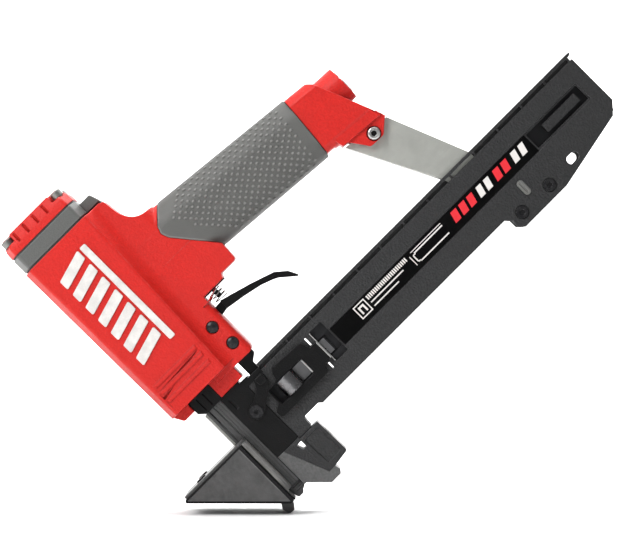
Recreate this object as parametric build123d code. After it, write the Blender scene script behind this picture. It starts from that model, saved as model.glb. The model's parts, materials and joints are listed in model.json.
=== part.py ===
"""Pneumatic flooring nailer, as an assembly of separate pieces.

The pieces are drawn upright, in millimetres: X runs along the magazine towards its tail, Y runs
across the tool, and Z runs up the drive line from the nose. place() then leans the whole tool
45 degrees, as it stands in use, with the flat sole of its shoe on Z = 0 and the middle of that
sole at the origin.
"""
import math
import os

from build123d import *

# ---- stance -----------------------------------------------------------------------------------
LEAN = 45.0                      # drive line from the vertical, degrees
SOLE_MIDDLE = (-21.75, 21.75)    # middle of the sole, in the upright drawing (X, Z)

# ---- air engine -------------------------------------------------------------------------------
BORE_X = 10.5                    # drive line
BARREL_BOTTOM = 84.0
TAB_LEFT = 15.2                  # tab under the barrel, between nose block and column
TAB_LOW = 72.6
BARREL_TOP = 206.0
BARREL_HALF = 26.0               # half depth at the top, and of the head and cap
HEAD_LEFT = -15.0
HEAD_RIGHT = 36.0
FACET = (4.0, 9.0)               # corner facet of the barrel, head and cap, along X and Y
GASKET = 1.0
BARREL_SECTIONS = (              # height, left side, right side, half depth
    (BARREL_BOTTOM, -14.5, 33.5, 24.5),
    (BARREL_TOP, -15.6, 38.5, 26.4),
)
HEAD_TOP = 217.0
HEAD_BORE = 20.6
HEAD_VALVE = 20.2
HEAD_SEAL_Z = 202.0
COLUMN_TOP = 205.2
CAP_TOP = 230.0
POCKET_FLOOR = 225.0             # floor of the cap's corner pockets
POCKET_X = 9.6                   # pocket's reach from the cap's side
CAP_SCREW_X = (-9.6, 31.2)
CAP_SCREW_Y = 19.8
CAP_SCREW = 2.0                  # shank radius
SLEEVE_OUTER = 21.4
SLEEVE_INNER = 19.0
SLEEVE_LOW = 90.0
SLEEVE_HIGH = 200.0
SEAL_WIRE = 0.9
RIB_HEIGHTS = (92.0, 98.0, 103.6)
BUMPER_HEIGHT = 14.0
PISTON_LOW = 187.0
PISTON_THICK = 10.0
PISTON_GAP = 0.05
DRIVER_TIP = 79.0
DRIVER = (1.4, 6.2)              # driver blade section, along X and Y
CHANNEL = (2.0, 6.6)             # driver channel section, along X and Y

# ---- column, handle and end cap ---------------------------------------------------------------
COLUMN_HALF = 17.0
COLUMN = (10.0, 50.0)            # column's reach along X
VALLEY = 8.0                     # radius of the hollow between barrel and column
WEB_ROUND = 9.0                  # corner rounding of the web between column and handle
HANDLE_START = (57.0, 160.5)     # a point on the handle's centre line
HANDLE_DROP = 5.2                # handle's slope, degrees
HANDLE_END_X = 163.0
GRIP_DEPTH = 45.6                # grip height at HANDLE_START
GRIP_DEPTH_END = 43.4
GRIP_WIDTH = 35.0
GRIP_WALL = 2.5
HANDLE_WALL = 4.0
CAP_HALF = 16.0
INLET_Z = 154.5
INLET_END = 199.5
INLET_BOSS = 11.8
INLET_THREAD = 5.6               # threaded wall's radius, quarter-inch pipe size
INLET_DEPTH = 14.0
STRUT_SCREW = (190.5, 119.7)

# ---- trigger group ----------------------------------------------------------------------------
VALVE_X = 57.0
VALVE_RADIUS = 7.5
VALVE_SEAL_Z = 136.0
STEM_RADIUS = 1.7
TRIGGER_PIVOT = (41.0, 106.0)
HANGER_PIN = (43.0, 91.0)
PIN_RADIUS = 2.0
PIN_HEAD = 3.5                   # radius of a pin's domed end
RUNNING = 0.05                   # radial clearance of a running fit
TRIGGER_HALF = 9.0
TRIGGER_WALL = 1.6
EAR_HALF = 5.0

# ---- nose and foot ----------------------------------------------------------------------------
NOSE_HALF = 11.0
NOSE_LEFT = 1.5
NOSE_RIGHT = 13.2
NOSE_TOP = 72.0
SHOE_HALF = 28.0
SHOE_WALL = 3.5
SHOE_TOP = 45.0
FOOT_HALF = 13.0
LUG_HALF = 10.0
LUG_SEAT = ((-3.4, 4.4), (-3.9, 3.9), (1.5, -0.5))   # seat of the toe lug in the sole

# ---- magazine ---------------------------------------------------------------------------------
PLATE_OUTER = 11.5
PLATE_INNER = 9.0
LINER_OUTER = 6.6
LINER_INNER = 3.4
RAIL_HALF = 2.0
PLATE_TOP = 67.8
RAIL_BOTTOM = 28.4
RAIL_TOP = 72.0
MAG_TAIL = 305.5
LABEL_BAND = (89.2, 297.0, 42.6, 56.2)
TAIL_WINDOW = (254.0, 296.0, 44.0, 55.0)
SPRING_WINDOW = (38.0, 65.0, 44.2, 55.8)
STRIP_WINDOW = (79.2, 88.6, 39.6, 63.0)
SPRING_AXLE = (50.0, -12.4)
SPRING_ROLL = 6.8
FOLLOWER_TAIL = 84.0
REAR_SCREWS = ((220.0, 24.0), (243.0, 24.0))
SLOTTED_PIN = (231.0, 33.7)
HANG_HOLE = (264.3, 25.6)
RIB_FIRST = 66.5
RIB_STEP = 19.75
LEVER_PIVOT = (24.0, 52.0)

MIDDLE = (Align.CENTER, Align.CENTER, Align.MIN)


# ---- drawing helpers --------------------------------------------------------------------------
def outline(points):
    """Closed face in the side plane; each point is (x, z) or (x, z, corner radius)."""
    corners = [(point[0], 0, point[1]) for point in points]
    radii = [point[2] if len(point) > 2 else 0 for point in points]
    return Face(FilletPolyline(*corners, radius=radii, close=True))


def slab(points, low, high):
    """Side outline carried across the tool from y = low to y = high."""
    return Pos(0, low, 0) * extrude(outline(points), amount=high - low, dir=(0, 1, 0))


def block(x_low, x_high, y_low, y_high, z_low, z_high):
    size = (x_high - x_low, y_high - y_low, z_high - z_low)
    return Pos(x_low, y_low, z_low) * Box(*size, align=(Align.MIN, Align.MIN, Align.MIN))


def upright(x, y, low, high, radius):
    """Cylinder along Z."""
    return Pos(x, y, low) * Cylinder(radius, high - low, align=MIDDLE)


def across(x, z, low, high, radius):
    """Cylinder along Y."""
    return Pos(x, low, z) * Rot(-90, 0, 0) * Cylinder(radius, high - low, align=MIDDLE)


def along(y, z, low, high, radius):
    """Cylinder along X."""
    return Pos(low, y, z) * Rot(0, 90, 0) * Cylinder(radius, high - low, align=MIDDLE)


def both_sides(shape):
    return shape + mirror(shape, about=Plane.XZ)


def hex_socket(x, z, bottom, radius):
    """Six-sided hole that opens towards the near side from y = bottom."""
    return Pos(x, bottom, z) * Rot(90, 0, 0) * extrude(RegularPolygon(radius, 6), amount=3)


def ring(x, z, radius, wire):
    """O-ring about the vertical through (x, 0), its middle at height z."""
    return Pos(x, 0, z) * Torus(radius, wire)


def slot_across(x, z, length, height, low, high, upright_slot=False):
    """Obround bar across the tool, longer along X, or along Z if upright_slot."""
    long_side, short_side = (height, length) if upright_slot else (length, height)
    turn = 90 if upright_slot else 0
    face = Plane.XZ.offset(-low) * Rot(0, 0, turn) * SlotOverall(long_side, short_side)
    return Pos(x, 0, z) * extrude(face, amount=-(high - low))


def octagon(height, left, right, half, shrink=0.0):
    """Barrel-like section at a height: a rectangle with steep facets at its corners."""
    left += shrink
    right -= shrink
    half -= shrink
    step_x, step_y = FACET
    corners = [
        (left + step_x, -half), (right - step_x, -half), (right, step_y - half), (right, half - step_y),
        (right - step_x, half), (left + step_x, half), (left, half - step_y), (left, step_y - half),
    ]
    points = [(x, y, height) for x, y in corners]
    return Face(FilletPolyline(*points, radius=2.4, close=True))


def octagon_prism(low, high, shrink=0.0):
    face = octagon(low, HEAD_LEFT, HEAD_RIGHT, BARREL_HALF, shrink)
    return extrude(face, amount=high - low, dir=(0, 0, 1))


def handle_plane(x):
    """Plane square to the handle's centre line where that line passes x."""
    drop = math.radians(HANDLE_DROP)
    z = HANDLE_START[1] - (x - HANDLE_START[0]) * math.tan(drop)
    return Plane(origin=(x, 0, z), x_dir=(0, 1, 0), z_dir=(math.cos(drop), 0, -math.sin(drop)))


def handle_bar(x_low, x_high, inset, radius):
    """Rounded bar along the handle, inset from the grip's surface all round."""
    sections = []
    for x in (x_low, x_high):
        share = (x - HANDLE_START[0]) / (HANDLE_END_X - HANDLE_START[0])
        depth = GRIP_DEPTH + (GRIP_DEPTH_END - GRIP_DEPTH) * share
        shape = RectangleRounded(GRIP_WIDTH - 2 * inset, depth - 2 * inset, radius)
        sections.append((handle_plane(x) * shape).face())
    return loft(sections, ruled=True)


def spring_coil(x, y, low, high, radius, wire, turns):
    """Round-wire coil standing on a height, with plain ends."""
    path = Pos(x, y, low + wire) * Helix((high - low - 2 * wire) / turns, high - low - 2 * wire, radius)
    section = Plane(origin=path @ 0, z_dir=path % 0) * Circle(wire)
    return sweep(section, path=path, is_frenet=True)


# ---- outlines used by more than one piece -----------------------------------------------------
GRIP_EDGE = [(80.5, 137.5), (60.5, 162.0, 3), (58.6, 166.8, 3), (60.2, 171.3, 3), (70.0, 182.4)]

WEB_RIM = [(55.5, 183.4, 12), (49.5, 192, 16), (47.8, COLUMN_TOP)]

HOUSING_SIDE = [
    (20, 80.5), (50, 80.0, 4), (50, 122.3), (66.3, 122.3), (67.3, 125), (79.8, 125, 2),
    *GRIP_EDGE, *WEB_RIM, (20, COLUMN_TOP),
]

PLATE_SIDE = [
    (31, 22.5), (41, 22.5, 0.8), (41.6, 29.6, 1.5), (53.6, 29.6, 1), (55.6, 27.7), (209.5, 27.7, 2),
    (212, 24.5, 1), (212, 19.5, 2), (215.3, 16.3, 1), (250, 16.4, 3), (299, 26.4, 1), (305.5, 33.4),
    (MAG_TAIL, PLATE_TOP), (31, PLATE_TOP),
]

STRUT_SIDE = [
    (172.5, 126), (203, 121.6), (223, 72), (224, 60), (252, 36, 6), (251, 18.2, 3), (214.5, 18.2, 3),
    (212, 40, 6), (200, 72),
]


def light_slits():
    """Narrow gaps beside the feed spring that go right through the magazine."""
    return [
        block(74.1, 75.4, -20, 20, 56.8, 62.4),
        block(74.1, 75.4, -20, 20, 37.8, 42.2),
    ]


# ---- air engine -------------------------------------------------------------------------------
def make_housing():
    body = barrel(0)
    column_face = Pos(sum(COLUMN) / 2, 0, 78) * RectangleRounded(COLUMN[1] - COLUMN[0], 2 * COLUMN_HALF, 5)
    saddle = handle_bar(38, 84, 0.6, 11) + block(40, 90, -COLUMN_HALF, COLUMN_HALF, 118, 152)
    web_face = Pos(44, 0, 170) * RectangleRounded(44, 2 * COLUMN_HALF, WEB_ROUND)
    upright_stock = extrude(column_face, amount=130) + extrude(web_face, amount=40)
    body += slab(HOUSING_SIDE, -20, 20) & (upright_stock + saddle)
    body += both_sides(valley())
    body += handle_bar(60, HANDLE_END_X, GRIP_WALL, 12)
    body += slab([(-13.6, 84), (-10.2, 78, 2), (-2, 78), (-2, 84.5), (-13.6, 84.5)], -16, 16)
    body += slab([(TAB_LEFT, 84.5), (TAB_LEFT, TAB_LOW), (33, TAB_LOW, 1), (33, 84.5)], -15, 15)
    for z in RIB_HEIGHTS:
        rib = slab([(-8, z), (26, z), (26.4, z + 2.6), (-8.4, z + 2.6)], -BARREL_HALF, -20)
        body += both_sides(rib & barrel(0.7))
    body -= upright(BORE_X, 0, SLEEVE_LOW - 2, BARREL_TOP + 1, SLEEVE_OUTER + 0.1)
    body -= upright(BORE_X, 0, 80, SLEEVE_LOW, 7.2)
    body -= block(-2, TAB_LEFT, -13.2, 13.2, 70, BARREL_BOTTOM)
    body -= handle_bar(24, HANDLE_END_X + 1, GRIP_WALL + HANDLE_WALL, 9)
    body -= upright(VALVE_X, 0, 120, 146, VALVE_RADIUS)
    body -= block(34, 52, -EAR_HALF - 0.5, EAR_HALF + 0.5, 99, 118)
    body -= block(35.4, 48.6, -6.1, 6.1, 79, 97)
    for x, z in (TRIGGER_PIVOT, HANGER_PIN):
        body -= across(x, z, -20, 20, PIN_RADIUS)
        body -= both_sides(across(x, z, -20, -COLUMN_HALF + 2.5, PIN_HEAD + 0.2))
    for x, y in cap_screw_places():
        body -= upright(x, y, 190, 210, CAP_SCREW)
    return body


def barrel(proud):
    """Barrel's outer form, which widens upwards; proud moves its faces outwards."""
    sections = [octagon(z, left, right, half, -proud) for z, left, right, half in BARREL_SECTIONS]
    return loft(sections, ruled=True)


def valley():
    """Hollow fillet between the barrel's facet and the near side of the column."""
    sections = []
    for z, _, right, half in BARREL_SECTIONS:
        step_x, step_y = FACET
        corner_x = right - step_x + (half - COLUMN_HALF) * step_x / step_y
        rise = 0.94 * (half - COLUMN_HALF)
        top = (corner_x - rise * step_x / step_y, COLUMN_HALF + rise)
        end = corner_x + 7
        points = [top, (corner_x, COLUMN_HALF), (end, COLUMN_HALF), (end, 14), (top[0], 14)]
        edge = FilletPolyline(*[(x, -y, z) for x, y in points], radius=[0, VALLEY, 0, 0, 0], close=True)
        sections.append(Face(edge))
    return loft(sections, ruled=True)


def cap_screw_places():
    return [(x, y) for x in CAP_SCREW_X for y in (-CAP_SCREW_Y, CAP_SCREW_Y)]


def gasket_sheet(low, hole):
    body = octagon_prism(low, low + GASKET, 0.7)
    body -= upright(BORE_X, 0, low - 1, low + 2, hole)
    for x, y in cap_screw_places():
        body -= upright(x, y, low - 1, low + 2, CAP_SCREW)
    return body


def make_head_gaskets():
    """Sheets under and over the cylinder head, and the pad under its shoulder."""
    body = gasket_sheet(BARREL_TOP, SLEEVE_OUTER + 0.1) + gasket_sheet(HEAD_TOP, HEAD_BORE)
    return body + block(38.7, 46.4, -11, 11, COLUMN_TOP, BARREL_TOP + GASKET)


def make_cylinder_head():
    body = octagon_prism(BARREL_TOP + GASKET, HEAD_TOP)
    shoulder = [(34, BARREL_TOP + GASKET), (34, 214), (44.6, 214, 1), (46.9, BARREL_TOP + GASKET)]
    body += slab(shoulder, -12, 12)
    body -= upright(BORE_X, 0, BARREL_TOP, HEAD_TOP + 1, HEAD_BORE)
    for x, y in cap_screw_places():
        body -= upright(x, y, BARREL_TOP, HEAD_TOP + 1, CAP_SCREW)
    return body


def make_top_cap():
    low = octagon(HEAD_TOP + GASKET, HEAD_LEFT, HEAD_RIGHT, BARREL_HALF)
    mid = octagon(POCKET_FLOOR - 2, HEAD_LEFT + 0.3, HEAD_RIGHT - 0.3, BARREL_HALF - 0.3)
    high = octagon(CAP_TOP, HEAD_LEFT + 3.2, HEAD_RIGHT - 3.2, BARREL_HALF - 2.2)
    body = loft([low, mid], ruled=True) + loft([mid, high], ruled=True)
    for x, y in cap_screw_places():
        body -= upright(x, y, HEAD_TOP, CAP_TOP, CAP_SCREW)
        side = -1 if x < BORE_X else 1
        edge = HEAD_LEFT if x < BORE_X else HEAD_RIGHT
        y_side = 1 if y > 0 else -1
        pocket = RectangleRounded(2 * POCKET_X, 2 * POCKET_X + 6, 3)
        corner = Pos(edge, y_side * (BARREL_HALF + 2.4), POCKET_FLOOR)
        body -= extrude(corner * pocket, amount=10)
    for x in (-3.0, 4.8, 12.6, 20.4):
        groove = block(x - 0.7, x + 0.7, -BARREL_HALF - 1, -BARREL_HALF + 2.6, 222.4, CAP_TOP - 1.4)
        body -= both_sides(groove)
    body -= upright(BORE_X, 0, HEAD_TOP, POCKET_FLOOR, 15.5)
    return body


def make_cap_screws():
    """Four socket-head screws through the cap and the head into the housing."""
    screws = Part()
    for x, y in cap_screw_places():
        screw = upright(x, y, 192, POCKET_FLOOR, CAP_SCREW)
        head = upright(x, y, POCKET_FLOOR, POCKET_FLOOR + 4.2, 3.6)
        screw += chamfer(head.edges().group_by(Axis.Z)[-1], 0.5)
        screw -= extrude(Pos(x, y, POCKET_FLOOR + 2) * RegularPolygon(1.8, 6), amount=5)
        screws += screw
    return screws


def make_cylinder_sleeve():
    body = upright(BORE_X, 0, SLEEVE_LOW - 2, SLEEVE_HIGH, SLEEVE_OUTER)
    body -= upright(BORE_X, 0, SLEEVE_LOW - 3, SLEEVE_HIGH + 1, SLEEVE_INNER)
    for z in (SLEEVE_LOW + 8, SLEEVE_HIGH - 8):
        body -= ring(BORE_X, z, SLEEVE_OUTER - SEAL_WIRE, SEAL_WIRE + 0.1)
    return body


def make_body_seals():
    """O-rings round the sleeve and the valve body."""
    seals = ring(VALVE_X, VALVE_SEAL_Z, VALVE_RADIUS - SEAL_WIRE, SEAL_WIRE)
    for z in (SLEEVE_LOW + 8, SLEEVE_HIGH - 8):
        seals += ring(BORE_X, z, SLEEVE_OUTER - SEAL_WIRE, SEAL_WIRE)
    return seals


def make_bumper():
    low = SLEEVE_LOW - 2
    body = upright(BORE_X, 0, low, low + BUMPER_HEIGHT, SLEEVE_INNER - 0.1)
    body -= upright(BORE_X, 0, low - 1, low + BUMPER_HEIGHT + 1, 7.2)
    return chamfer(body.edges().group_by(Axis.Z)[-1], 1.5)


def make_piston():
    radius = SLEEVE_INNER - PISTON_GAP
    body = upright(BORE_X, 0, PISTON_LOW, PISTON_LOW + PISTON_THICK, radius)
    body += upright(BORE_X, 0, PISTON_LOW - 9, PISTON_LOW, 6.4)
    body -= upright(BORE_X, 0, PISTON_LOW + 4, PISTON_LOW + PISTON_THICK + 1, 11)
    body -= ring(BORE_X, PISTON_LOW + 5, radius - 1.2, 1.25)
    return body - driver_shank()


def make_piston_seal():
    return ring(BORE_X, PISTON_LOW + 5, SLEEVE_INNER - PISTON_GAP - 1.2, 1.2)


def driver_shank():
    half_x, half_y = DRIVER[0] / 2, DRIVER[1] / 2
    return block(BORE_X - half_x, BORE_X + half_x, -half_y, half_y, DRIVER_TIP, PISTON_LOW + 2)


def make_driver_blade():
    return driver_shank()


def make_head_valve():
    body = upright(BORE_X, 0, SLEEVE_HIGH + 0.6, 207, HEAD_VALVE)
    body += upright(BORE_X, 0, 207, 214, 9)
    body -= upright(BORE_X, 0, 203, 215, 6)
    body -= ring(BORE_X, HEAD_SEAL_Z, HEAD_VALVE, 1.1)
    return body


def make_head_valve_seal():
    return ring(BORE_X, HEAD_SEAL_Z, HEAD_VALVE + 0.1, 1.0)


def make_head_valve_spring():
    return spring_coil(BORE_X, 0, 207.2, POCKET_FLOOR - 0.2, 11.5, 0.8, 3.5)


# ---- handle -----------------------------------------------------------------------------------
def make_grip_sleeve():
    body = handle_bar(44, HANDLE_END_X + 1.4, 0, 15)
    body -= slab([(30, 120), (80.5, 120), *GRIP_EDGE, (71, 195), (30, 195)], -30, 30)
    return body - handle_bar(40, HANDLE_END_X + 5, GRIP_WALL, 12)


END_CAP_SIDE = [
    (162.9, 131), (168, 130.6, 2), (172, 127.2), (202, 124.8, 1), (185.4, 166.2, 1), (180.9, 171.3, 3),
    (166.5, 172.7),
]

END_CAP_TAB = [(174.5, 129), (184, 115.4, 2.5), (194, 115, 3), (200.3, 120.6), (203, 122.6), (201, 129)]


def end_cap_front():
    """Everything ahead of the handle's end face and the grip's end."""
    face = handle_plane(HANDLE_END_X + 1.4) * Rectangle(80, 90)
    return extrude(face, amount=-60)


def make_end_cap():
    body = slab(END_CAP_SIDE, -CAP_HALF, CAP_HALF) & handle_bar(150, 215, 0.9, 9)
    body += slab([(168, 150), (172, 127.2), (202, 124.8, 1), (192, 150)], -CAP_HALF + 1, CAP_HALF - 1)
    body = body - end_cap_front()
    body += both_sides(slab(END_CAP_TAB, 9.2, 13.2))
    boss = Cone(INLET_BOSS + 0.5, INLET_BOSS - 0.3, INLET_END - 182, align=MIDDLE)
    body += Pos(182, 0, INLET_Z) * Rot(0, 90, 0) * boss
    body -= along(0, INLET_Z, INLET_END - 16, INLET_END + 1, 8.0)
    body -= along(0, INLET_Z, 160, INLET_END + 1, 5.0)
    body -= handle_bar(160, 176, GRIP_WALL + HANDLE_WALL, 9)
    body -= across(*STRUT_SCREW, -20, 20, 2.5)
    for y in (-10.0, 10.0):
        body -= end_screw(y, 0)
    return body


def end_screw(y, spare):
    """Envelope of a screw square to the slanted end face; spare widens it."""
    start = Plane(origin=(200.2, y, 131.5), x_dir=(0, 1, 0), z_dir=(-0.927, 0, -0.374))
    shank = extrude(start * Circle(2 + spare), amount=14)
    return shank + extrude(start * Circle(3.6 + spare), amount=-3)


def make_end_cap_screws():
    screws = Part()
    for y in (-10.0, 10.0):
        screws += end_screw(y, 0) & slab([(160, 100), (206, 100), (188, 145), (160, 145)], -20, 20)
    return screws


def make_end_cap_seal():
    inner = handle_bar(HANDLE_END_X, HANDLE_END_X + 1.4, GRIP_WALL + HANDLE_WALL, 9)
    return handle_bar(HANDLE_END_X, HANDLE_END_X + 1.4, GRIP_WALL + 0.3, 12) - inner


def make_inlet_bushing():
    body = along(0, INLET_Z, INLET_END - 16, INLET_END + 0.8, 8.0)
    return body - along(0, INLET_Z, INLET_END + 0.8 - INLET_DEPTH - 5, INLET_END + 2, INLET_THREAD)


# ---- trigger group ----------------------------------------------------------------------------
def make_valve_body():
    body = upright(VALVE_X, 0, 123.6, 145, VALVE_RADIUS)
    body -= upright(VALVE_X, 0, 120, 150, STEM_RADIUS + RUNNING)
    return body - ring(VALVE_X, VALVE_SEAL_Z, VALVE_RADIUS - SEAL_WIRE, SEAL_WIRE + 0.05)


def make_valve_plate():
    body = block(50.4, 66.5, -8.6, 8.6, 121.6, 122.3) + upright(VALVE_X, 0, 121.6, 123.6, VALVE_RADIUS)
    return body - upright(VALVE_X, 0, 120, 130, STEM_RADIUS + RUNNING)


def make_valve_stem():
    body = upright(VALVE_X, 0, 115.8, 143, STEM_RADIUS)
    return chamfer(body.edges().group_by(Axis.Z)[0], 0.6)


def make_trigger_spring():
    return spring_coil(VALVE_X, 0, 113.9, 121.4, 4.5, 0.35, 3)


TRIGGER_LOWER = [(55, 107.9), (67, 106.0), (79, 103.4), (86.4, 100.7), (89.4, 99.2), (98.6, 91.4)]
TRIGGER_UPPER = [(96.4, 98.2), (90, 103.6), (85, 105.3), (75, 108.6), (62.4, 112.2), (55, 114.2)]


def make_trigger():
    """Pressed channel, open on top, with a pad under the valve and an ear on the pivot."""
    lower = [(x, z, 4) if 60 < x < 95 else (x, z) for x, z in TRIGGER_LOWER]
    body = slab([*lower, (99.4, 92.4), *TRIGGER_UPPER], -TRIGGER_HALF, TRIGGER_HALF)
    floor = [(x + 0.2, z + TRIGGER_WALL) for x, z in TRIGGER_LOWER]
    inside = TRIGGER_HALF - TRIGGER_WALL
    hollow = slab([*floor, (112, 100), (100, 125), (62.6, 125), (62.6, 112)], -inside, inside)
    under_pad = slab([(56.6, 109.4), (70, 107.2), (70, 108.4), (63, 110.4), (56.6, 112.3)], -inside, inside)
    body -= hollow + under_pad
    x, z = TRIGGER_PIVOT
    ear = slab([(x - 1, 101.5), (50, 107.2), (56, 108.2), (56, 113.8), (50, 113.4), (x - 2, 110.4)],
               -EAR_HALF, EAR_HALF)
    body += ear + across(x, z, -EAR_HALF, EAR_HALF, 4.5)
    return body - across(x, z, -20, 20, PIN_RADIUS + RUNNING)


def domed_pin(x, z):
    """Cross pin with a low dome at both ends."""
    pin = across(x, z, -COLUMN_HALF + 2, COLUMN_HALF - 2, PIN_RADIUS)
    dome = Pos(x, -COLUMN_HALF + 5.8, z) * Sphere(7.2)
    dome &= across(x, z, -COLUMN_HALF - 2, -COLUMN_HALF + 2.5, PIN_HEAD)
    return pin + both_sides(dome)


def make_column_pins():
    """Upper pin, which the trigger turns on, and lower pin, which holds the hanger lug."""
    return domed_pin(*TRIGGER_PIVOT) + domed_pin(*HANGER_PIN)


# ---- nose -------------------------------------------------------------------------------------
def driver_channel():
    half_x, half_y = CHANNEL[0] / 2, CHANNEL[1] / 2
    return block(BORE_X - half_x, BORE_X + half_x, -half_y, half_y, -12, 90)


def nose_screw_places():
    return [(x, y) for x in (3.2, 10.6) for y in (-9.2, 9.2)]


def make_nose_block():
    side = [
        (-2, BARREL_BOTTOM), (TAB_LEFT, BARREL_BOTTOM), (TAB_LEFT, NOSE_TOP), (1.8, NOSE_TOP),
        (-0.4, 74, 0.5), (-2, 75.4),
    ]
    body = slab(side, -13, 13) - driver_channel()
    for x in (3.2, 8.2):
        body -= both_sides(block(x, x + 0.9, -14, -12.4, 73.5, 82.5))
    for x, y in nose_screw_places():
        body -= upright(x, y, 60, 90, 1.6)
    return body


def make_nose_front_plate():
    body = block(NOSE_LEFT, BORE_X - 1, -NOSE_HALF, NOSE_HALF, 5.6, NOSE_TOP)
    for x in (3.3, 7.2):
        body -= both_sides(block(x, x + 0.8, -NOSE_HALF - 1, -NOSE_HALF + 0.9, 0, 90))
    for x, y in nose_screw_places():
        body -= upright(x, y, 62, 90, 1.6)
    return body


def make_channel_spacers():
    half = CHANNEL[1] / 2
    body = both_sides(block(BORE_X - 1, BORE_X + 1, half, NOSE_HALF, 5.6, NOSE_TOP))
    for x, y in nose_screw_places():
        body -= upright(x, y, 62, 90, 1.6)
    return body


def make_nose_back_plate():
    body = block(BORE_X + 1, NOSE_RIGHT, -NOSE_HALF, NOSE_HALF, 5.6, NOSE_TOP)
    body -= block(BORE_X, NOSE_RIGHT + 1, -LINER_INNER, LINER_INNER, 22, 68)
    for x, y in nose_screw_places():
        body -= upright(x, y, 62, 90, 1.6)
    return body


def make_nose_screws():
    """Long screws down through the nose block into the nose plates."""
    screws = Part()
    for x, y in nose_screw_places():
        screws += upright(x, y, 62.5, 83, 1.55)
    return screws


def make_wear_strip():
    return slab([(-0.4, 46.8), (NOSE_LEFT, 46.8), (NOSE_LEFT, 71.8), (-0.4, 71.8, 0.6)], -6, 6)


def make_nose_tip():
    """Hardened tip around the driver's way out."""
    side = [(5, 5.5), (5, -0.6), (6, -2.2, 0.5), (9.4, -2.2, 0.5), (10.6, -0.6), (13.2, 0.6), (13.2, 5.5)]
    body = slab(side, -9, 9) - driver_channel()
    for z in (0.6, 2.2, 3.8):
        body -= both_sides(block(7.4, 13.4, -9.5, -8.5, z, z + 0.7))
    return body


# ---- foot -------------------------------------------------------------------------------------
SHOE_SIDE = [
    (-43.6, 43.6, 1.2), (-41.9, SHOE_TOP), (7.8, SHOE_TOP), (7.8, 6.6), (4.8, 6.2), (4.8, -0.4),
    (0.6, -0.6),
]


def make_shoe():
    """Triangular cast shoe, open on top under its cover, notched round the nose."""
    body = slab(SHOE_SIDE, -SHOE_HALF, SHOE_HALF)
    heel = extrude(Pos(-31.2, 0, -2) * RectangleRounded(78, 2 * SHOE_HALF, 5), amount=50)
    body &= heel
    body -= slab([LUG_SEAT[0], (3.0, -2.0), (-1.5, -2.0), LUG_SEAT[1]], -LUG_HALF, LUG_HALF)
    wall = SHOE_WALL
    toe = SHOE_SIDE[0][0] + 3 * wall
    hollow = [(toe, SHOE_TOP + 1), (toe, 42.4), (-wall, wall + 3.2), (-wall, SHOE_TOP + 1)]
    for side in (-1, 1):
        low, high = sorted((side * 1.8, side * (SHOE_HALF - wall)))
        body -= slab(hollow, low, high)
    body -= block(NOSE_LEFT - 0.02, 9, -NOSE_HALF - 0.02, NOSE_HALF + 0.02, -3, SHOE_TOP + 1)
    for y in (-16.0, 16.0):
        body += upright(-27.5, y, 36, SHOE_TOP, 3.4) & slab(SHOE_SIDE, -SHOE_HALF, SHOE_HALF)
        body -= upright(-27.5, y, 37, SHOE_TOP + 1, 1.6)
    return body


def make_shoe_cover():
    edge = Pos(-17, 0, SHOE_TOP) * RectangleRounded(49.6, 2 * SHOE_HALF, 4)
    body = extrude(edge, amount=1.6)
    body -= block(NOSE_LEFT - 0.6, 12, -NOSE_HALF - 0.3, NOSE_HALF + 0.3, SHOE_TOP - 1, SHOE_TOP + 3)
    for y in (-16.0, 16.0):
        body -= upright(-27.5, y, SHOE_TOP - 1, SHOE_TOP + 3, 1.6)
    return body


def make_shoe_cover_screws():
    screws = Part()
    for y in (-16.0, 16.0):
        head = upright(-27.5, y, SHOE_TOP + 1.6, SHOE_TOP + 2.8, 3.4)
        head = chamfer(head.edges().group_by(Axis.Z)[-1], 0.4)
        head -= block(-31.5, -23.5, y - 0.4, y + 0.4, SHOE_TOP + 2.2, SHOE_TOP + 4)
        screws += head + upright(-27.5, y, SHOE_TOP - 7, SHOE_TOP + 1.6, 1.6)
    return screws


def make_toe_lug():
    """Rounded lug under the shoe's tip, which catches the board's edge."""
    side = [
        LUG_SEAT[0], LUG_SEAT[1], (-6.7, -0.6, 2), (-5.2, -5.2, 2), (-1.6, -5.6, 1.5), (0.8, -2.4, 1),
        LUG_SEAT[2],
    ]
    return slab(side, -LUG_HALF, LUG_HALF)


def make_foot_wedge():
    side = [
        (13.5, 23.6), (18.7, 23.6), (20.5, 18.8), (29.6, -4), (34.3, -4), (35.2, -7.4, 0.8),
        (33.5, -9.7, 0.8), (26, -9.7, 0.6), (15.2, 1.1, 0.6), (13.5, 1.1),
    ]
    body = slab(side, -FOOT_HALF, FOOT_HALF)
    for y in (-8.0, 8.0):
        body -= along(y, 13, 10, 40, 2.0)
    return body


def make_foot_block():
    side = [
        (18.7, 23.6), (20.5, 18.8), (29.6, -4), (34.3, -4), (46, -2.4, 1.4), (45.4, 22.3, 1),
        (31, 22.3), (31, 23.6),
    ]
    body = slab(side, -FOOT_HALF, FOOT_HALF)
    body -= slab([(26.1, 20.6), (27.8, 16.0, 0.8), (30.3, 16.2, 0.5), (30.3, 20.8, 0.5)], -20, 20)
    panel = [(32, 19.6, 1), (43, 19.6, 1), (43.6, 0.6, 1), (33, 0, 1)]
    body -= both_sides(slab(panel, -FOOT_HALF - 1, -FOOT_HALF + 0.8))
    for y in (-8.0, 8.0):
        body -= along(y, 13, 10, 47, 2.0)
        body -= along(y, 13, 41.5, 48, 3.8)
    return body


def make_foot_screws():
    """Two screws from the tail side that clamp the block on the wedge."""
    screws = Part()
    for y in (-8.0, 8.0):
        screw = along(y, 13, 14, 41.5, 1.95) + along(y, 13, 41.5, 45.2, 3.6)
        screws += screw - Pos(43.5, y, 13) * Rot(0, 90, 0) * extrude(RegularPolygon(1.8, 6), amount=4)
    return screws


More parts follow.
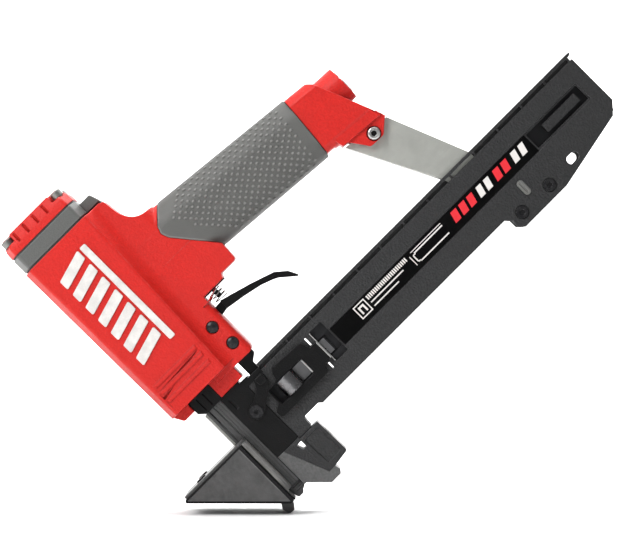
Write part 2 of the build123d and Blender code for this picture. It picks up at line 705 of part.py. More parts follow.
# ---- magazine ---------------------------------------------------------------------------------
def make_nose_bracket():
    """Black casting that ties the nose plates to the magazine."""
    side = [
        (NOSE_RIGHT, 23.6), (31, 23.6), (31, 66), (43.6, 66.2), (43.6, 69.9), (34.6, 69.9), (34.6, 71),
        (28.6, 71), (28.6, TAB_LOW), (TAB_LEFT, TAB_LOW), (TAB_LEFT, NOSE_TOP), (NOSE_RIGHT, NOSE_TOP),
    ]
    cheek = slab(side, LINER_INNER, 12)
    body = both_sides(cheek) + block(NOSE_RIGHT, 27, -LINER_INNER - 1, LINER_INNER + 1, 68.2, NOSE_TOP)
    body -= both_sides(slab([(16.6, 61), (18.4, 61), (18.4, 68.6), (16.6, 68.6)], -13, -11.4))
    body -= block(31, 50, -PLATE_OUTER, PLATE_OUTER, 60, PLATE_TOP)
    body -= across(*LEVER_PIVOT, -13, -6, 1.8)
    return body


def make_release_lever():
    """Thumb lever on the near side that frees the nose for clearing a jam."""
    side = [
        (22, 47.5, 2), (28.5, 49, 2), (38, 56.4, 4), (42.4, 59.6, 2), (42.8, 66.4, 1), (35.6, 66.4, 1),
        (33.6, 61.6, 3), (27, 57.6, 4), (20, 55.4, 2.4),
    ]
    body = slab(side, -14.6, -12.3) + across(*LEVER_PIVOT, -14.6, -12.3, 4.8)
    body += slab([(36.6, 61.4, 1), (42.2, 61, 1), (42.4, 66, 1), (36.4, 66, 1)], -16.6, -14.6)
    return body - across(*LEVER_PIVOT, -18, -8, 2.9)


def make_lever_pivot():
    """Shoulder screw that the release lever turns on."""
    body = across(*LEVER_PIVOT, -12, -8, 1.8)
    body += across(*LEVER_PIVOT, -14.9, -12, 2.85)
    body += across(*LEVER_PIVOT, -16.2, -14.9, 4.0)
    return body - hex_socket(*LEVER_PIVOT, -14.4, 1.6)


def make_side_plate(side):
    low, high = sorted((side * PLATE_INNER, side * PLATE_OUTER))
    body = slab(PLATE_SIDE, low, high)
    x0, x1, z0, z1 = LABEL_BAND
    skin_low, skin_high = sorted((side * (PLATE_OUTER - 1.0), side * (PLATE_OUTER + 1)))
    body -= slab([(x0, z0, 1), (x1, z0, 1), (x1, z1, 1), (x0, z1, 1)], skin_low, skin_high)
    for x0, x1, z0, z1 in (TAIL_WINDOW, SPRING_WINDOW, STRIP_WINDOW):
        body -= slab([(x0, z0, 0.8), (x1, z0, 0.8), (x1, z1, 0.8), (x0, z1, 0.8)], low - 1, high + 1)
    body -= slot_across(*HANG_HOLE, 8.4, 6.0, low - 1, high + 1)
    body -= slot_across(*SLOTTED_PIN, 4.6, 10.4, low - 1, high + 1, upright_slot=True)
    for x, z in REAR_SCREWS:
        body -= across(x, z, low - 1, high + 1, 2.5)
        if side < 0:
            body -= across(x, z, low - 1, low + 1.2, 4.1)
    if side < 0:
        body -= axle_cut()
    for slit in light_slits():
        body -= slit
    return body


def make_guide_liner(side):
    """Hardened wall of the staple channel, behind a side plate."""
    low, high = sorted((side * LINER_INNER, side * LINER_OUTER))
    side_edge = [
        (31, 23), (40.6, 23), (41.4, 30), (54, 30), (56, 28.2), (302, 28.2), (303, PLATE_TOP),
        (31, PLATE_TOP),
    ]
    body = slab(side_edge, low, high)
    if side < 0:
        body -= block(20, 298, low - 1, high + 1, 44, 56)
    else:
        x0, x1, z0, z1 = TAIL_WINDOW
        body -= block(x0, x1, low - 1, high + 1, z0, z1)
        x0, x1, z0, z1 = SPRING_WINDOW
        body -= block(x0, x1, low - 1, high + 1, z0, z1)
    body -= slab(STRUT_SIDE, low - 1, high + 1) & block(150, 300, -20, 20, 10, 20)
    for slit in light_slits():
        body -= slit
    return body


def make_staple_rail():
    """Blade that the staples straddle."""
    side = [
        (14, 31), (20, RAIL_BOTTOM), (40.4, RAIL_BOTTOM), (41.6, 30.2), (54, 30.2), (56, RAIL_BOTTOM),
        (303, RAIL_BOTTOM), (303, 66), (14, 66),
    ]
    body = slab(side, -RAIL_HALF, RAIL_HALF)
    for slit in light_slits():
        body -= slit
    return body


def make_top_rail():
    side = [
        (43.8, RAIL_TOP - 1.9), (MAG_TAIL - 0.3, RAIL_TOP - 1.9), (307, RAIL_TOP - 1.2, 0.5),
        (306.6, RAIL_TOP), (43.8, RAIL_TOP),
    ]
    body = slab(side, -PLATE_OUTER, PLATE_OUTER)
    body += block(43.8, MAG_TAIL - 1, -8.4, 8.4, PLATE_TOP, RAIL_TOP - 1)
    count = int((MAG_TAIL - RIB_FIRST) / RIB_STEP) + 1
    for index in range(count):
        x = RIB_FIRST + index * RIB_STEP
        body += block(x - 0.6, x + 0.6, -PLATE_OUTER + 0.3, PLATE_OUTER - 0.3, PLATE_TOP, RAIL_TOP - 1)
    body -= both_sides(slab(STRUT_SIDE, 6.8, 8.8))
    return body - block(44.5, 303, -LINER_INNER, LINER_INNER, 60, 70)


def make_tail_spacers():
    """Bars that hold the plates and liners apart at the tail, which stays open for loading."""
    bar = block(296.5, 302.6, LINER_OUTER, PLATE_INNER, 34, PLATE_TOP)
    return both_sides(bar)


def make_name_strip():
    x0, _, z0, z1 = LABEL_BAND
    strip = block(x0 + 0.4, TAIL_WINDOW[0] - 1, -PLATE_OUTER + 0.5, -PLATE_OUTER + 1.0, z0 + 0.4, z1 - 0.4)
    return both_sides(strip)


def make_spring_housing():
    """Pressed frame round the coiled feed spring."""
    side = [
        (32, 38.4, 2), (71, 38.4, 2), (73.2, 43.4), (78.4, 43.4), (78.4, 56.2), (73.2, 56.2),
        (71, 62.6, 2), (47.6, 64, 4), (45.4, 57.2, 1), (36.8, 54.9, 1.5), (36.8, 46, 2), (32, 43.5, 1),
    ]
    body = slab(side, -15.2, -PLATE_OUTER)
    x0, x1, z0, z1 = SPRING_WINDOW
    body -= slab([(x0, z0, 1), (x1, z0, 1), (x1, z1, 1), (x0, z1, 1)], -20, -5)
    for slit in light_slits():
        body -= slit
    return body - axle_cut()


def axle_cut():
    x, y = SPRING_AXLE
    return upright(x, y, 40.8, 59.2, 1.2)


def make_spring_axle():
    x, y = SPRING_AXLE
    return upright(x, y, 41, 59, 1.2)


def make_feed_spring():
    """Coiled steel strip that draws the follower forward."""
    x, y = SPRING_AXLE
    body = upright(x, y, 44.5, 55.5, SPRING_ROLL)
    return body - upright(x, y, 40, 60, 1.2 + RUNNING)


def make_feed_strip():
    """Free end of the coiled spring, from the coil back to the follower's tail."""
    return block(SPRING_AXLE[0], FOLLOWER_TAIL - 1, -5.5, -5.2, 45, 55)


def make_follower():
    """Saddle over the staple rail that pushes the staples, with a tail that the strip spring pulls."""
    body = block(14.2, 36, -3.1, 3.1, 27.6, 67.4) + block(35, FOLLOWER_TAIL, -3.1, 3.1, 43.2, 56.6)
    body -= block(10, 90, -RAIL_HALF - 0.1, RAIL_HALF + 0.1, 20, 66.4)
    return body + block(FOLLOWER_TAIL - 6, FOLLOWER_TAIL, -4.95, -2.5, 45, 55)


def make_hanger_lug():
    """Lug that hangs the magazine from the column."""
    body = slab([(36.2, 69.9), (36.2, 96), (47.9, 96), (47.9, 78, 2), (43.4, 74.6, 1), (43.2, 69.9)], -6, 6)
    return body - across(*HANGER_PIN, -20, 20, PIN_RADIUS)


def make_strut():
    """Channel-section strut from the end cap down into the magazine."""
    body = both_sides(slab(STRUT_SIDE, 6.8, 8.8))
    body += slab([(172.5, 126), (174.9, 125.7), (202.2, 72.4), (200, 72.4)], -7.5, 7.5)
    body -= across(*STRUT_SCREW, -20, 20, 2.5)
    for x, z in REAR_SCREWS:
        body -= across(x, z, -20, 20, 2.5)
    return body - slot_across(*SLOTTED_PIN, 4.6, 10.4, -20, 20, upright_slot=True)


def make_strut_screw():
    body = across(*STRUT_SCREW, -13.2, 13.2, 2.5)
    head = across(*STRUT_SCREW, -15.8, -13.2, 3.9)
    body += fillet(head.edges().group_by(Axis.Y)[0], 1.2)
    return body - hex_socket(*STRUT_SCREW, -14.4, 1.9)


def make_rear_screws():
    screws = Part()
    for x, z in REAR_SCREWS:
        screw = across(x, z, -PLATE_OUTER + 1.2, PLATE_OUTER, 2.5)
        screw += across(x, z, -PLATE_OUTER - 1.0, -PLATE_OUTER + 1.2, 3.8)
        screws += screw - hex_socket(x, z, -PLATE_OUTER + 0.2, 1.9)
    return screws


def make_slotted_pin():
    """Oval adjusting stud in the near plate and the strut's near wall, with a screwdriver slot."""
    body = slot_across(*SLOTTED_PIN, 4.4, 10.2, -PLATE_OUTER - 0.8, -6.8, upright_slot=True)
    x, z = SLOTTED_PIN
    return body - block(x - 0.6, x + 0.6, -13, -PLATE_OUTER, z - 3.6, z + 3.6)


PIECES = {
    "housing": make_housing,
    "cylinder_head": make_cylinder_head,
    "head_gaskets": make_head_gaskets,
    "top_cap": make_top_cap,
    "cap_screws": make_cap_screws,
    "cylinder_sleeve": make_cylinder_sleeve,
    "body_seals": make_body_seals,
    "bumper": make_bumper,
    "piston": make_piston,
    "piston_seal": make_piston_seal,
    "driver_blade": make_driver_blade,
    "head_valve": make_head_valve,
    "head_valve_seal": make_head_valve_seal,
    "head_valve_spring": make_head_valve_spring,
    "grip_sleeve": make_grip_sleeve,
    "end_cap": make_end_cap,
    "end_cap_screws": make_end_cap_screws,
    "end_cap_seal": make_end_cap_seal,
    "inlet_bushing": make_inlet_bushing,
    "valve_body": make_valve_body,
    "valve_plate": make_valve_plate,
    "valve_stem": make_valve_stem,
    "trigger_spring": make_trigger_spring,
    "trigger": make_trigger,
    "column_pins": make_column_pins,
    "nose_block": make_nose_block,
    "nose_front_plate": make_nose_front_plate,
    "channel_spacers": make_channel_spacers,
    "nose_back_plate": make_nose_back_plate,
    "nose_screws": make_nose_screws,
    "wear_strip": make_wear_strip,
    "nose_tip": make_nose_tip,
    "shoe": make_shoe,
    "shoe_cover": make_shoe_cover,
    "shoe_cover_screws": make_shoe_cover_screws,
    "toe_lug": make_toe_lug,
    "foot_wedge": make_foot_wedge,
    "foot_block": make_foot_block,
    "foot_screws": make_foot_screws,
    "nose_bracket": make_nose_bracket,
    "release_lever": make_release_lever,
    "lever_pivot": make_lever_pivot,
    "side_plate_near": lambda: make_side_plate(-1),
    "side_plate_far": lambda: make_side_plate(1),
    "guide_liner_near": lambda: make_guide_liner(-1),
    "guide_liner_far": lambda: make_guide_liner(1),
    "staple_rail": make_staple_rail,
    "top_rail": make_top_rail,
    "name_strip": make_name_strip,
    "tail_spacers": make_tail_spacers,
    "spring_housing": make_spring_housing,
    "spring_axle": make_spring_axle,
    "feed_spring": make_feed_spring,
    "feed_strip": make_feed_strip,
    "follower": make_follower,
    "hanger_lug": make_hanger_lug,
    "strut": make_strut,
    "strut_screw": make_strut_screw,
    "rear_screws": make_rear_screws,
    "slotted_pin": make_slotted_pin,
}


def place(shape):
    """Lean a piece and put the middle of the sole at the origin."""
    lean = math.radians(LEAN)
    x, z = SOLE_MIDDLE
    shift_x = x * math.cos(lean) - z * math.sin(lean)
    shift_z = x * math.sin(lean) + z * math.cos(lean)
    return Pos(-shift_x, 0, -shift_z) * Rot(0, -LEAN, 0) * shape


def main():
    os.makedirs("parts", exist_ok=True)
    for name, make in PIECES.items():
        export_step(place(make()), f"parts/{name}.step")


main()
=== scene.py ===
"""Looks of the pneumatic flooring nailer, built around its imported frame.

Lengths in the settings are metres. New pieces are drawn in the upright tool frame, in which X runs
along the magazine, Y across the tool and Z up the drive line, and TOOL leans them into place.
"""
import json
from math import cos, pi, radians, sin, tan

import bmesh
import bpy
from bpy.props import FloatProperty, FloatVectorProperty, IntProperty, PointerProperty
from mathutils import Matrix, Vector
from mathutils.bvhtree import BVHTree


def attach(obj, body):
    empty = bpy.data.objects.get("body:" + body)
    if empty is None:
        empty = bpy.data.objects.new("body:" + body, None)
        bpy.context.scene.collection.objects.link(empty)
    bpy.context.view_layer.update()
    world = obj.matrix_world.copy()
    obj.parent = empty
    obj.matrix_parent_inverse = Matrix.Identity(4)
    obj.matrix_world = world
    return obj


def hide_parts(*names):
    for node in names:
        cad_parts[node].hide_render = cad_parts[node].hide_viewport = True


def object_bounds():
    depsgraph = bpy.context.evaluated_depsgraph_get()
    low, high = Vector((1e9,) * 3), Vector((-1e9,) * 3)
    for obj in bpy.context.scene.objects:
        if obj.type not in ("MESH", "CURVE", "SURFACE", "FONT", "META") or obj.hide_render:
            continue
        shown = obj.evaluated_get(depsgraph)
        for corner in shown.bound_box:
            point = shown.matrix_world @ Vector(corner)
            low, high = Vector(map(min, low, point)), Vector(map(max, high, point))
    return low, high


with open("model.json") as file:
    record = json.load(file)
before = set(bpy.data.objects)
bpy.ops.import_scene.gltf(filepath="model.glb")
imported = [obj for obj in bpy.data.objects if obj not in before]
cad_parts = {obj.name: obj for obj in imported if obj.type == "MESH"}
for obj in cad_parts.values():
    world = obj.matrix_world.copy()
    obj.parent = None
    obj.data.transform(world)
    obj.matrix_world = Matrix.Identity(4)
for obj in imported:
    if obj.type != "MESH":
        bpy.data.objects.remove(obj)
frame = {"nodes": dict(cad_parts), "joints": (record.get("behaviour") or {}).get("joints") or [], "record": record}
CAD_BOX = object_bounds()

bl_info = {
    "name": "Flooring Nailer Looks",
    "version": (1, 0, 0),
    "blender": (4, 5, 0),
    "location": "View3D > Sidebar > Nailer",
    "description": "Finishes, soft edges and small details of a pneumatic flooring nailer",
    "category": "Object",
}

MM = 0.001
LEAN = radians(45)
NEAR, FAR = -1, 1
TRIGGER_PIVOT = Vector((41, 0, 106)) * MM      # in the tool frame


def joint_place(name):
    """Where a joint's axis is at rest, in the row frame."""
    return Vector(next(joint["pos_m"] for joint in frame["joints"] if joint["name"] == name))


TURN = Matrix.Rotation(-LEAN, 4, "Y")
TOOL = Matrix.Translation(joint_place("trigger_pull") - TURN @ TRIGGER_PIVOT) @ TURN
TO_TOOL = TOOL.inverted()


def tool_box(node):
    """Lowest and highest corners of a CAD node, in the tool frame."""
    points = [TO_TOOL @ vertex.co for vertex in frame["nodes"][node].data.vertices]
    low = Vector([min(point[i] for point in points) for i in range(3)])
    high = Vector([max(point[i] for point in points) for i in range(3)])
    return low, high


# ---- settings ----
def settings():
    return bpy.context.scene.nailer


def colour(name, description, default):
    return FloatVectorProperty(
        name=name, description=description, default=default, subtype="COLOR", min=0, max=1
    )


def length(name, description, default):
    return FloatProperty(name=name, description=description, default=default, unit="LENGTH", min=0)


class NailerFinishSettings(bpy.types.PropertyGroup):
    """Colours of the painted, moulded and plated pieces."""

    red: colour("Red", "Textured paint of the castings", (0.50, 0.0125, 0.0085))
    grey: colour("Grey", "Satin paint of the cylinder head", (0.088, 0.090, 0.086))
    grip: colour("Grip", "Moulded rubber of the grip", (0.080, 0.080, 0.076))
    black: colour("Black", "Fine-textured black of the magazine", (0.015, 0.015, 0.016))
    cast: colour("Cast steel", "Grey cast steel of the shoe and nose", (0.052, 0.052, 0.052))
    zinc: colour("Zinc", "Zinc-plated sheet of the strut", (0.36, 0.365, 0.34))
    mark_light: colour("Light marks", "Raised and printed light marks", (0.62, 0.60, 0.58))
    mark_red: colour("Red marks", "Printed red marks", (0.62, 0.012, 0.022))


class NailerEdgeSettings(bpy.types.PropertyGroup):
    """How round the hard edges are."""

    casting: length("Castings", "Edge radius of the painted castings", 0.0006)
    block: length("Blocks", "Edge radius of the nose and foot pieces", 0.0004)
    sheet: length("Sheet", "Edge radius of sheet and small parts", 0.0002)
    segments: IntProperty(name="Segments", description="Facets across an edge", default=2, min=1, max=6)


class NailerGripSettings(bpy.types.PropertyGroup):
    """Raised nubs of the grip."""

    pitch: length("Pitch", "From one nub to the next along the grip", 0.0051)
    row: length("Row step", "From one row to the next around the grip", 0.0029)
    nub_length: length("Nub length", "Longer width of a nub", 0.0027)
    nub_width: length("Nub width", "Shorter width of a nub", 0.0020)
    nub_height: length("Nub height", "How far a nub stands out", 0.00075)


class NailerMarkSettings(bpy.types.PropertyGroup):
    """Plain raised bars on the barrel and printed shapes on the magazine."""

    bars: IntProperty(name="Bars", description="Slanted bars on each side of the barrel", default=7, min=2)
    bar_width: length("Bar width", "Width of a slanted bar", 0.0066)
    proud: length("Proud", "How far the bars stand out", 0.0010)
    print_thickness: length("Print", "Thickness of a printed mark", 0.00006)


class NailerStageSettings(bpy.types.PropertyGroup):
    """Camera, floor and lights."""

    view_width: length("View width", "Width seen at the tool's middle plane", 0.3756)
    distance: length("Distance", "From the camera to the tool's middle plane", 1.8)
    key_power: FloatProperty(name="Key", description="Power of the key light", default=22.0, unit="POWER")
    fill_power: FloatProperty(name="Fill", description="Power of the fill light", default=1.7, unit="POWER")
    top_power: FloatProperty(name="Top", description="Power of the top light", default=3.0, unit="POWER")
    back_power: FloatProperty(name="Back", description="Power on the backdrop", default=60.0, unit="POWER")
    rear_power: FloatProperty(name="Rear", description="Power on the far side", default=10.0, unit="POWER")
    sky: FloatProperty(name="Surround", description="Brightness of the pale surround", default=0.30)


# ---- node helpers ----
def add_node(tree, kind, inputs=(), **settings):
    """A node of a kind, with settings and with each input linked or set."""
    node = tree.nodes.new("ShaderNode" + kind)
    for key, value in settings.items():
        setattr(node, key, value)
    for key, value in dict(inputs).items():
        if isinstance(value, bpy.types.NodeSocket):
            tree.links.new(value, node.inputs[key])
        else:
            node.inputs[key].default_value = value
    return node


def ramp(tree, factor, low, high, smooth=False):
    """A map of a value from low..high to 0..1, held at its ends."""
    node = add_node(
        tree, "MapRange", {"Value": factor, "From Min": low, "From Max": high},
        interpolation_type="SMOOTHSTEP" if smooth else "LINEAR",
    )
    return node.outputs["Result"]


def math(tree, operation, first, second=0.0):
    node = add_node(tree, "Math", {0: first, 1: second}, operation=operation)
    return node.outputs["Value"]


def blend_colour(tree, factor, first, second):
    """A mix of two colours, each a socket or a value."""
    node = tree.nodes.new("ShaderNodeMix")
    node.data_type = "RGBA"
    for socket, value in zip((node.inputs[0], node.inputs[6], node.inputs[7]), (factor, first, second)):
        if isinstance(value, bpy.types.NodeSocket):
            tree.links.new(value, socket)
        elif socket.type == "RGBA":
            socket.default_value = (*value[:3], 1)
        else:
            socket.default_value = value
    return node.outputs[2]


def new_group(name, inputs, outputs):
    """An empty shader group with named sockets, and its input and output nodes."""
    tree = bpy.data.node_groups.new(name, "ShaderNodeTree")
    for label, kind, default in inputs:
        socket = tree.interface.new_socket(name=label, in_out="INPUT", socket_type=kind)
        if default is not None:
            socket.default_value = default
    for label, kind in outputs:
        tree.interface.new_socket(name=label, in_out="OUTPUT", socket_type=kind)
    return tree, tree.nodes.new("NodeGroupInput").outputs, tree.nodes.new("NodeGroupOutput")


def use_group(tree, make, inputs):
    """Places a shared group in a material, building it the first time."""
    group = bpy.data.node_groups.get(make.__name__) or make()
    node = tree.nodes.new("ShaderNodeGroup")
    node.node_tree = group
    for key, value in inputs.items():
        if isinstance(value, bpy.types.NodeSocket):
            tree.links.new(value, node.inputs[key])
        else:
            node.inputs[key].default_value = value
    return node.outputs


# ---- shared effects ----
def fine_grain():
    """Fine leathery bumps, as in textured paint and moulded rubber."""
    tree, given, out = new_group(
        "fine_grain",
        [("Vector", "NodeSocketVector", None), ("Scale", "NodeSocketFloat", 1400.0)],
        [("Height", "NodeSocketFloat"), ("Speckle", "NodeSocketFloat")],
    )
    cells = add_node(
        tree, "TexVoronoi", {"Vector": given["Vector"], "Scale": given["Scale"]},
        feature="SMOOTH_F1",
    )
    noise = add_node(
        tree, "TexNoise", {"Vector": given["Vector"], "Scale": given["Scale"], "Detail": 3.0}
    )
    mixed = math(tree, "MULTIPLY_ADD", cells.outputs["Distance"], 0.6)
    tree.links.new(noise.outputs["Fac"], mixed.node.inputs[2])
    tree.links.new(mixed, out.inputs["Height"])
    tree.links.new(ramp(tree, noise.outputs["Fac"], 0.35, 0.65), out.inputs["Speckle"])
    return tree


def soft_blotches():
    """Broad uneven tone, as handling and plating leave it."""
    tree, given, out = new_group(
        "soft_blotches",
        [("Vector", "NodeSocketVector", None), ("Scale", "NodeSocketFloat", 40.0)],
        [("Mask", "NodeSocketFloat")],
    )
    noise = add_node(
        tree, "TexNoise",
        {
            "Vector": given["Vector"], "Scale": given["Scale"], "Detail": 4.0, "Roughness": 0.55,
            "Distortion": 0.4,
        },
    )
    tree.links.new(ramp(tree, noise.outputs["Fac"], 0.3, 0.7, smooth=True), out.inputs["Mask"])
    return tree


def rubbed_edges():
    """Mask of the outer edges, broken up by noise, for a painted highlight along them."""
    tree, given, out = new_group(
        "rubbed_edges",
        [("Vector", "NodeSocketVector", None), ("Width", "NodeSocketFloat", 0.0006)],
        [("Mask", "NodeSocketFloat")],
    )
    bevel = add_node(tree, "Bevel", {"Radius": given["Width"]}, samples=4)
    flat = tree.nodes.new("ShaderNodeNewGeometry")
    likeness = add_node(
        tree, "VectorMath", {0: bevel.outputs["Normal"], 1: flat.outputs["Normal"]},
        operation="DOT_PRODUCT",
    )
    edge = ramp(tree, math(tree, "SUBTRACT", 1.0, likeness.outputs["Value"]), 0.015, 0.14)
    noise = add_node(
        tree, "TexNoise", {"Vector": given["Vector"], "Scale": 260.0, "Detail": 5.0}
    )
    broken = ramp(tree, noise.outputs["Fac"], 0.40, 0.66)
    tree.links.new(math(tree, "MULTIPLY", edge, broken), out.inputs["Mask"])
    return tree


def drawn_lines():
    """Fine lines along one direction, as drawing and grinding leave them."""
    tree, given, out = new_group(
        "drawn_lines",
        [("Vector", "NodeSocketVector", None), ("Scale", "NodeSocketFloat", 2500.0)],
        [("Height", "NodeSocketFloat")],
    )
    noise = add_node(
        tree, "TexNoise", {"Vector": given["Vector"], "Scale": given["Scale"], "Detail": 2.0}
    )
    tree.links.new(noise.outputs["Fac"], out.inputs["Height"])
    return tree


def crevice_grime():
    """Mask of the corners and recesses, from ambient occlusion, where a colour is darkened as painted shade."""
    tree, given, out = new_group(
        "crevice_grime",
        [("Distance", "NodeSocketFloat", 0.004)],
        [("Mask", "NodeSocketFloat")],
    )
    shade = add_node(tree, "AmbientOcclusion", {"Distance": given["Distance"]}, samples=6)
    tree.links.new(ramp(tree, shade.outputs["AO"], 0.75, 0.25), out.inputs["Mask"])
    return tree


# ---- materials ----
def start_material(name):
    """A material with its Principled shader and its object coordinates."""
    material = bpy.data.materials.new("look_" + name)
    material.use_nodes = True
    tree = material.node_tree
    shader = tree.nodes["Principled BSDF"]
    place = tree.nodes.new("ShaderNodeTexCoord").outputs["Object"]
    return material, tree, shader, place


def tool_vector(tree, place, scale=(1, 1, 1)):
    """Object coordinates turned into the tool frame, stretched by a scale."""
    turned = add_node(
        tree, "Mapping",
        {"Vector": place, "Rotation": TO_TOOL.to_euler(), "Location": TO_TOOL.translation},
    )
    return add_node(
        tree, "Mapping", {"Vector": turned.outputs["Vector"], "Scale": scale}
    ).outputs["Vector"]


def tool_axes(tree, place):
    """X and Z of the object coordinates in the tool frame."""
    split = add_node(tree, "SeparateXYZ", {"Vector": tool_vector(tree, place)})
    return split.outputs["X"], split.outputs["Z"]


def line_distance(tree, x, z, first, second):
    """Distance from the line through two points of the tool's side view."""
    ahead = (second - first).normalized()
    along = math(tree, "MULTIPLY", math(tree, "SUBTRACT", z, first.y), ahead.x)
    across = math(tree, "MULTIPLY", math(tree, "SUBTRACT", x, first.x), ahead.y)
    return math(tree, "ABSOLUTE", math(tree, "SUBTRACT", along, across))


def set_bump(tree, shader, height, distance):
    bump = add_node(tree, "Bump", {"Height": height, "Distance": distance, "Strength": 1.0})
    tree.links.new(bump.outputs["Normal"], shader.inputs["Normal"])


def set_roughness(tree, shader, mask, spread, rough):
    """Roughness that grows from a value by a mask."""
    roughness = math(tree, "MULTIPLY_ADD", mask, spread)
    roughness.node.inputs[2].default_value = rough
    tree.links.new(roughness, shader.inputs["Roughness"])


def set_colour(tree, shader, tone):
    tree.links.new(tone, shader.inputs["Base Color"])


def grain_at(tree, place, scale):
    return use_group(tree, fine_grain, {"Vector": place, "Scale": scale})


# Mask for painted shade in corners and recesses.
def recesses(tree, distance):
    return use_group(tree, crevice_grime, {"Distance": distance})["Mask"]


# Mask for a painted highlight along the outer edges.
def worn_edges(tree, place, width):
    return use_group(tree, rubbed_edges, {"Vector": place, "Width": width})["Mask"]


def blotches(tree, place, scale):
    return use_group(tree, soft_blotches, {"Vector": place, "Scale": scale})["Mask"]


def lines_along(tree, place, stretch, scale):
    """Fine lines drawn out along the tool axis that the stretch makes slow."""
    lines = {"Vector": tool_vector(tree, place, stretch), "Scale": scale}
    return use_group(tree, drawn_lines, lines)["Height"]


def wash(tree, mask, amount, tone, cover):
    """A tone with a cover laid over it by a share of a mask."""
    return blend_colour(tree, math(tree, "MULTIPLY", mask, amount), tone, cover)


def toned(base, factor):
    """A colour made lighter or darker."""
    return [part * factor for part in base]


def textured_paint(name, base, rough, grain_scale, grain_depth, shift=0.12, edge_highlight_tone=None, sheen=0.4):
    """Painted casting: fine grain, uneven sheen, painted shade in the recesses and a faint painted highlight along
    the edges.
    """
    material, tree, shader, place = start_material(name)
    grain = grain_at(tree, place, grain_scale)
    blotch = blotches(tree, place, 35.0)
    recess_shade = recesses(tree, 0.003)
    darker = toned(base, 1 - shift)
    tone = wash(tree, blotch, 0.5, base, darker)
    tone = blend_colour(tree, grain["Speckle"], tone, darker)
    # painted shade: corners and recesses darkened towards a third of the base colour
    tone = wash(tree, recess_shade, 0.45, tone, toned(base, 0.35))
    # painted highlight: a paler tone along the outer edges, broken up by noise
    highlight_tone = edge_highlight_tone or [part * 0.8 + 0.12 for part in base]
    tone = wash(tree, worn_edges(tree, place, 0.0006), 0.30, tone, highlight_tone)
    set_colour(tree, shader, tone)
    set_roughness(tree, shader, blotch, 0.10, rough)
    shader.inputs["Specular IOR Level"].default_value = sheen
    set_bump(tree, shader, grain["Height"], grain_depth)
    return material


def red_paint():
    return textured_paint("red_paint", settings().finish.red, 0.42, 900.0, 0.00022, shift=0.16, sheen=0.24)


def grey_paint():
    return textured_paint("grey_paint", settings().finish.grey, 0.34, 1200.0, 0.00010)


def black_texture():
    base = settings().finish.black
    return textured_paint(
        "black_texture", base, 0.44, 850.0, 0.00030, shift=0.5, edge_highlight_tone=[part * 3 + 0.05 for part in base]
    )


def deep_black():
    """Smooth black of the small moulded and blued pieces round the feed spring."""
    base = toned(settings().finish.black, 0.3)
    return textured_paint("deep_black", base, 0.26, 1500.0, 0.00008, shift=0.4, edge_highlight_tone=[0.05] * 3, sheen=0.15)


def cast_grey():
    base = settings().finish.cast
    return textured_paint("cast_grey", base, 0.34, 900.0, 0.00007, shift=0.3, edge_highlight_tone=[0.20, 0.20, 0.19])


def cast_pale():
    base = toned(settings().finish.cast, 1.9)
    return textured_paint("cast_pale", base, 0.36, 800.0, 0.00010, shift=0.35, edge_highlight_tone=[0.30, 0.30, 0.29])


def cast_shoe():
    """Cast steel of the shoe, with a streaked painted highlight on its face beside the nose."""
    material = textured_paint(
        "cast_shoe", settings().finish.cast, 0.33, 420.0, 0.00018, shift=0.35, edge_highlight_tone=[0.20, 0.20, 0.19]
    )
    tree = material.node_tree
    shader = tree.nodes["Principled BSDF"]
    place = tree.nodes.new("ShaderNodeTexCoord").outputs["Object"]
    x, z = tool_axes(tree, place)
    # painted highlight: a pale strip where the shoe's face turns into the nose
    across, up = ramp(tree, x, 0.4 * MM, 2.2 * MM, True), ramp(tree, z, 4 * MM, 16 * MM, True)
    nose_side_highlight = math(tree, "MULTIPLY", across, up)
    streaks = lines_along(tree, place, (1, 1, 0.12), 900.0)
    nose_side_highlight = math(tree, "MULTIPLY", nose_side_highlight, ramp(tree, streaks, 0.2, 0.6))
    clouds = blotches(tree, place, 85.0)
    tone = wash(
        tree, clouds, 0.4, shader.inputs["Base Color"].links[0].from_socket,
        (0.085, 0.083, 0.082),
    )
    tone = wash(tree, nose_side_highlight, 0.8, tone, (0.20, 0.197, 0.19))
    set_colour(tree, shader, tone)
    return material


def grip_rubber():
    material, tree, shader, place = start_material("grip_rubber")
    base = settings().finish.grip
    grain = grain_at(tree, place, 2600.0)
    blotch = blotches(tree, place, 55.0)
    recess_shade = recesses(tree, 0.0016)
    # The raised attribute is a nub's height share; it lightens the nub tops as a painted highlight.
    raised = add_node(tree, "Attribute", attribute_name="raised").outputs["Fac"]
    x, z = tool_axes(tree, place)
    nearest = 1.0
    for first, second in zip(GRIP_FRONT, GRIP_FRONT[1:]):
        nearest = math(tree, "MINIMUM", line_distance(tree, x, z, first, second), nearest)
    # painted highlight: a lighter band along the grip's slanted front edge
    front_edge_highlight = ramp(tree, nearest, 1.2 * MM, 0.8 * MM)
    tone = wash(tree, blotch, 0.4, base, toned(base, 0.85))
    # painted shade: darker between the nubs and in the grip's recesses
    tone = wash(tree, recess_shade, 0.6, tone, toned(base, 0.5))
    # painted highlight: nub tops made lighter
    tone = wash(tree, raised, 0.75, tone, toned(base, 2.3))
    tone = wash(tree, front_edge_highlight, 0.55, tone, toned(base, 2.2))
    set_colour(tree, shader, tone)
    set_roughness(tree, shader, grain["Speckle"], 0.12, 0.52)
    shader.inputs["Specular IOR Level"].default_value = 0.42
    set_bump(tree, shader, grain["Height"], 0.00005)
    return material


def black_rubber():
    material, tree, shader, place = start_material("black_rubber")
    grain = grain_at(tree, place, 2200.0)
    tone = blend_colour(tree, grain["Speckle"], (0.018, 0.018, 0.018), (0.030, 0.030, 0.029))
    set_colour(tree, shader, tone)
    shader.inputs["Roughness"].default_value = 0.7
    set_bump(tree, shader, grain["Height"], 0.00004)
    return material


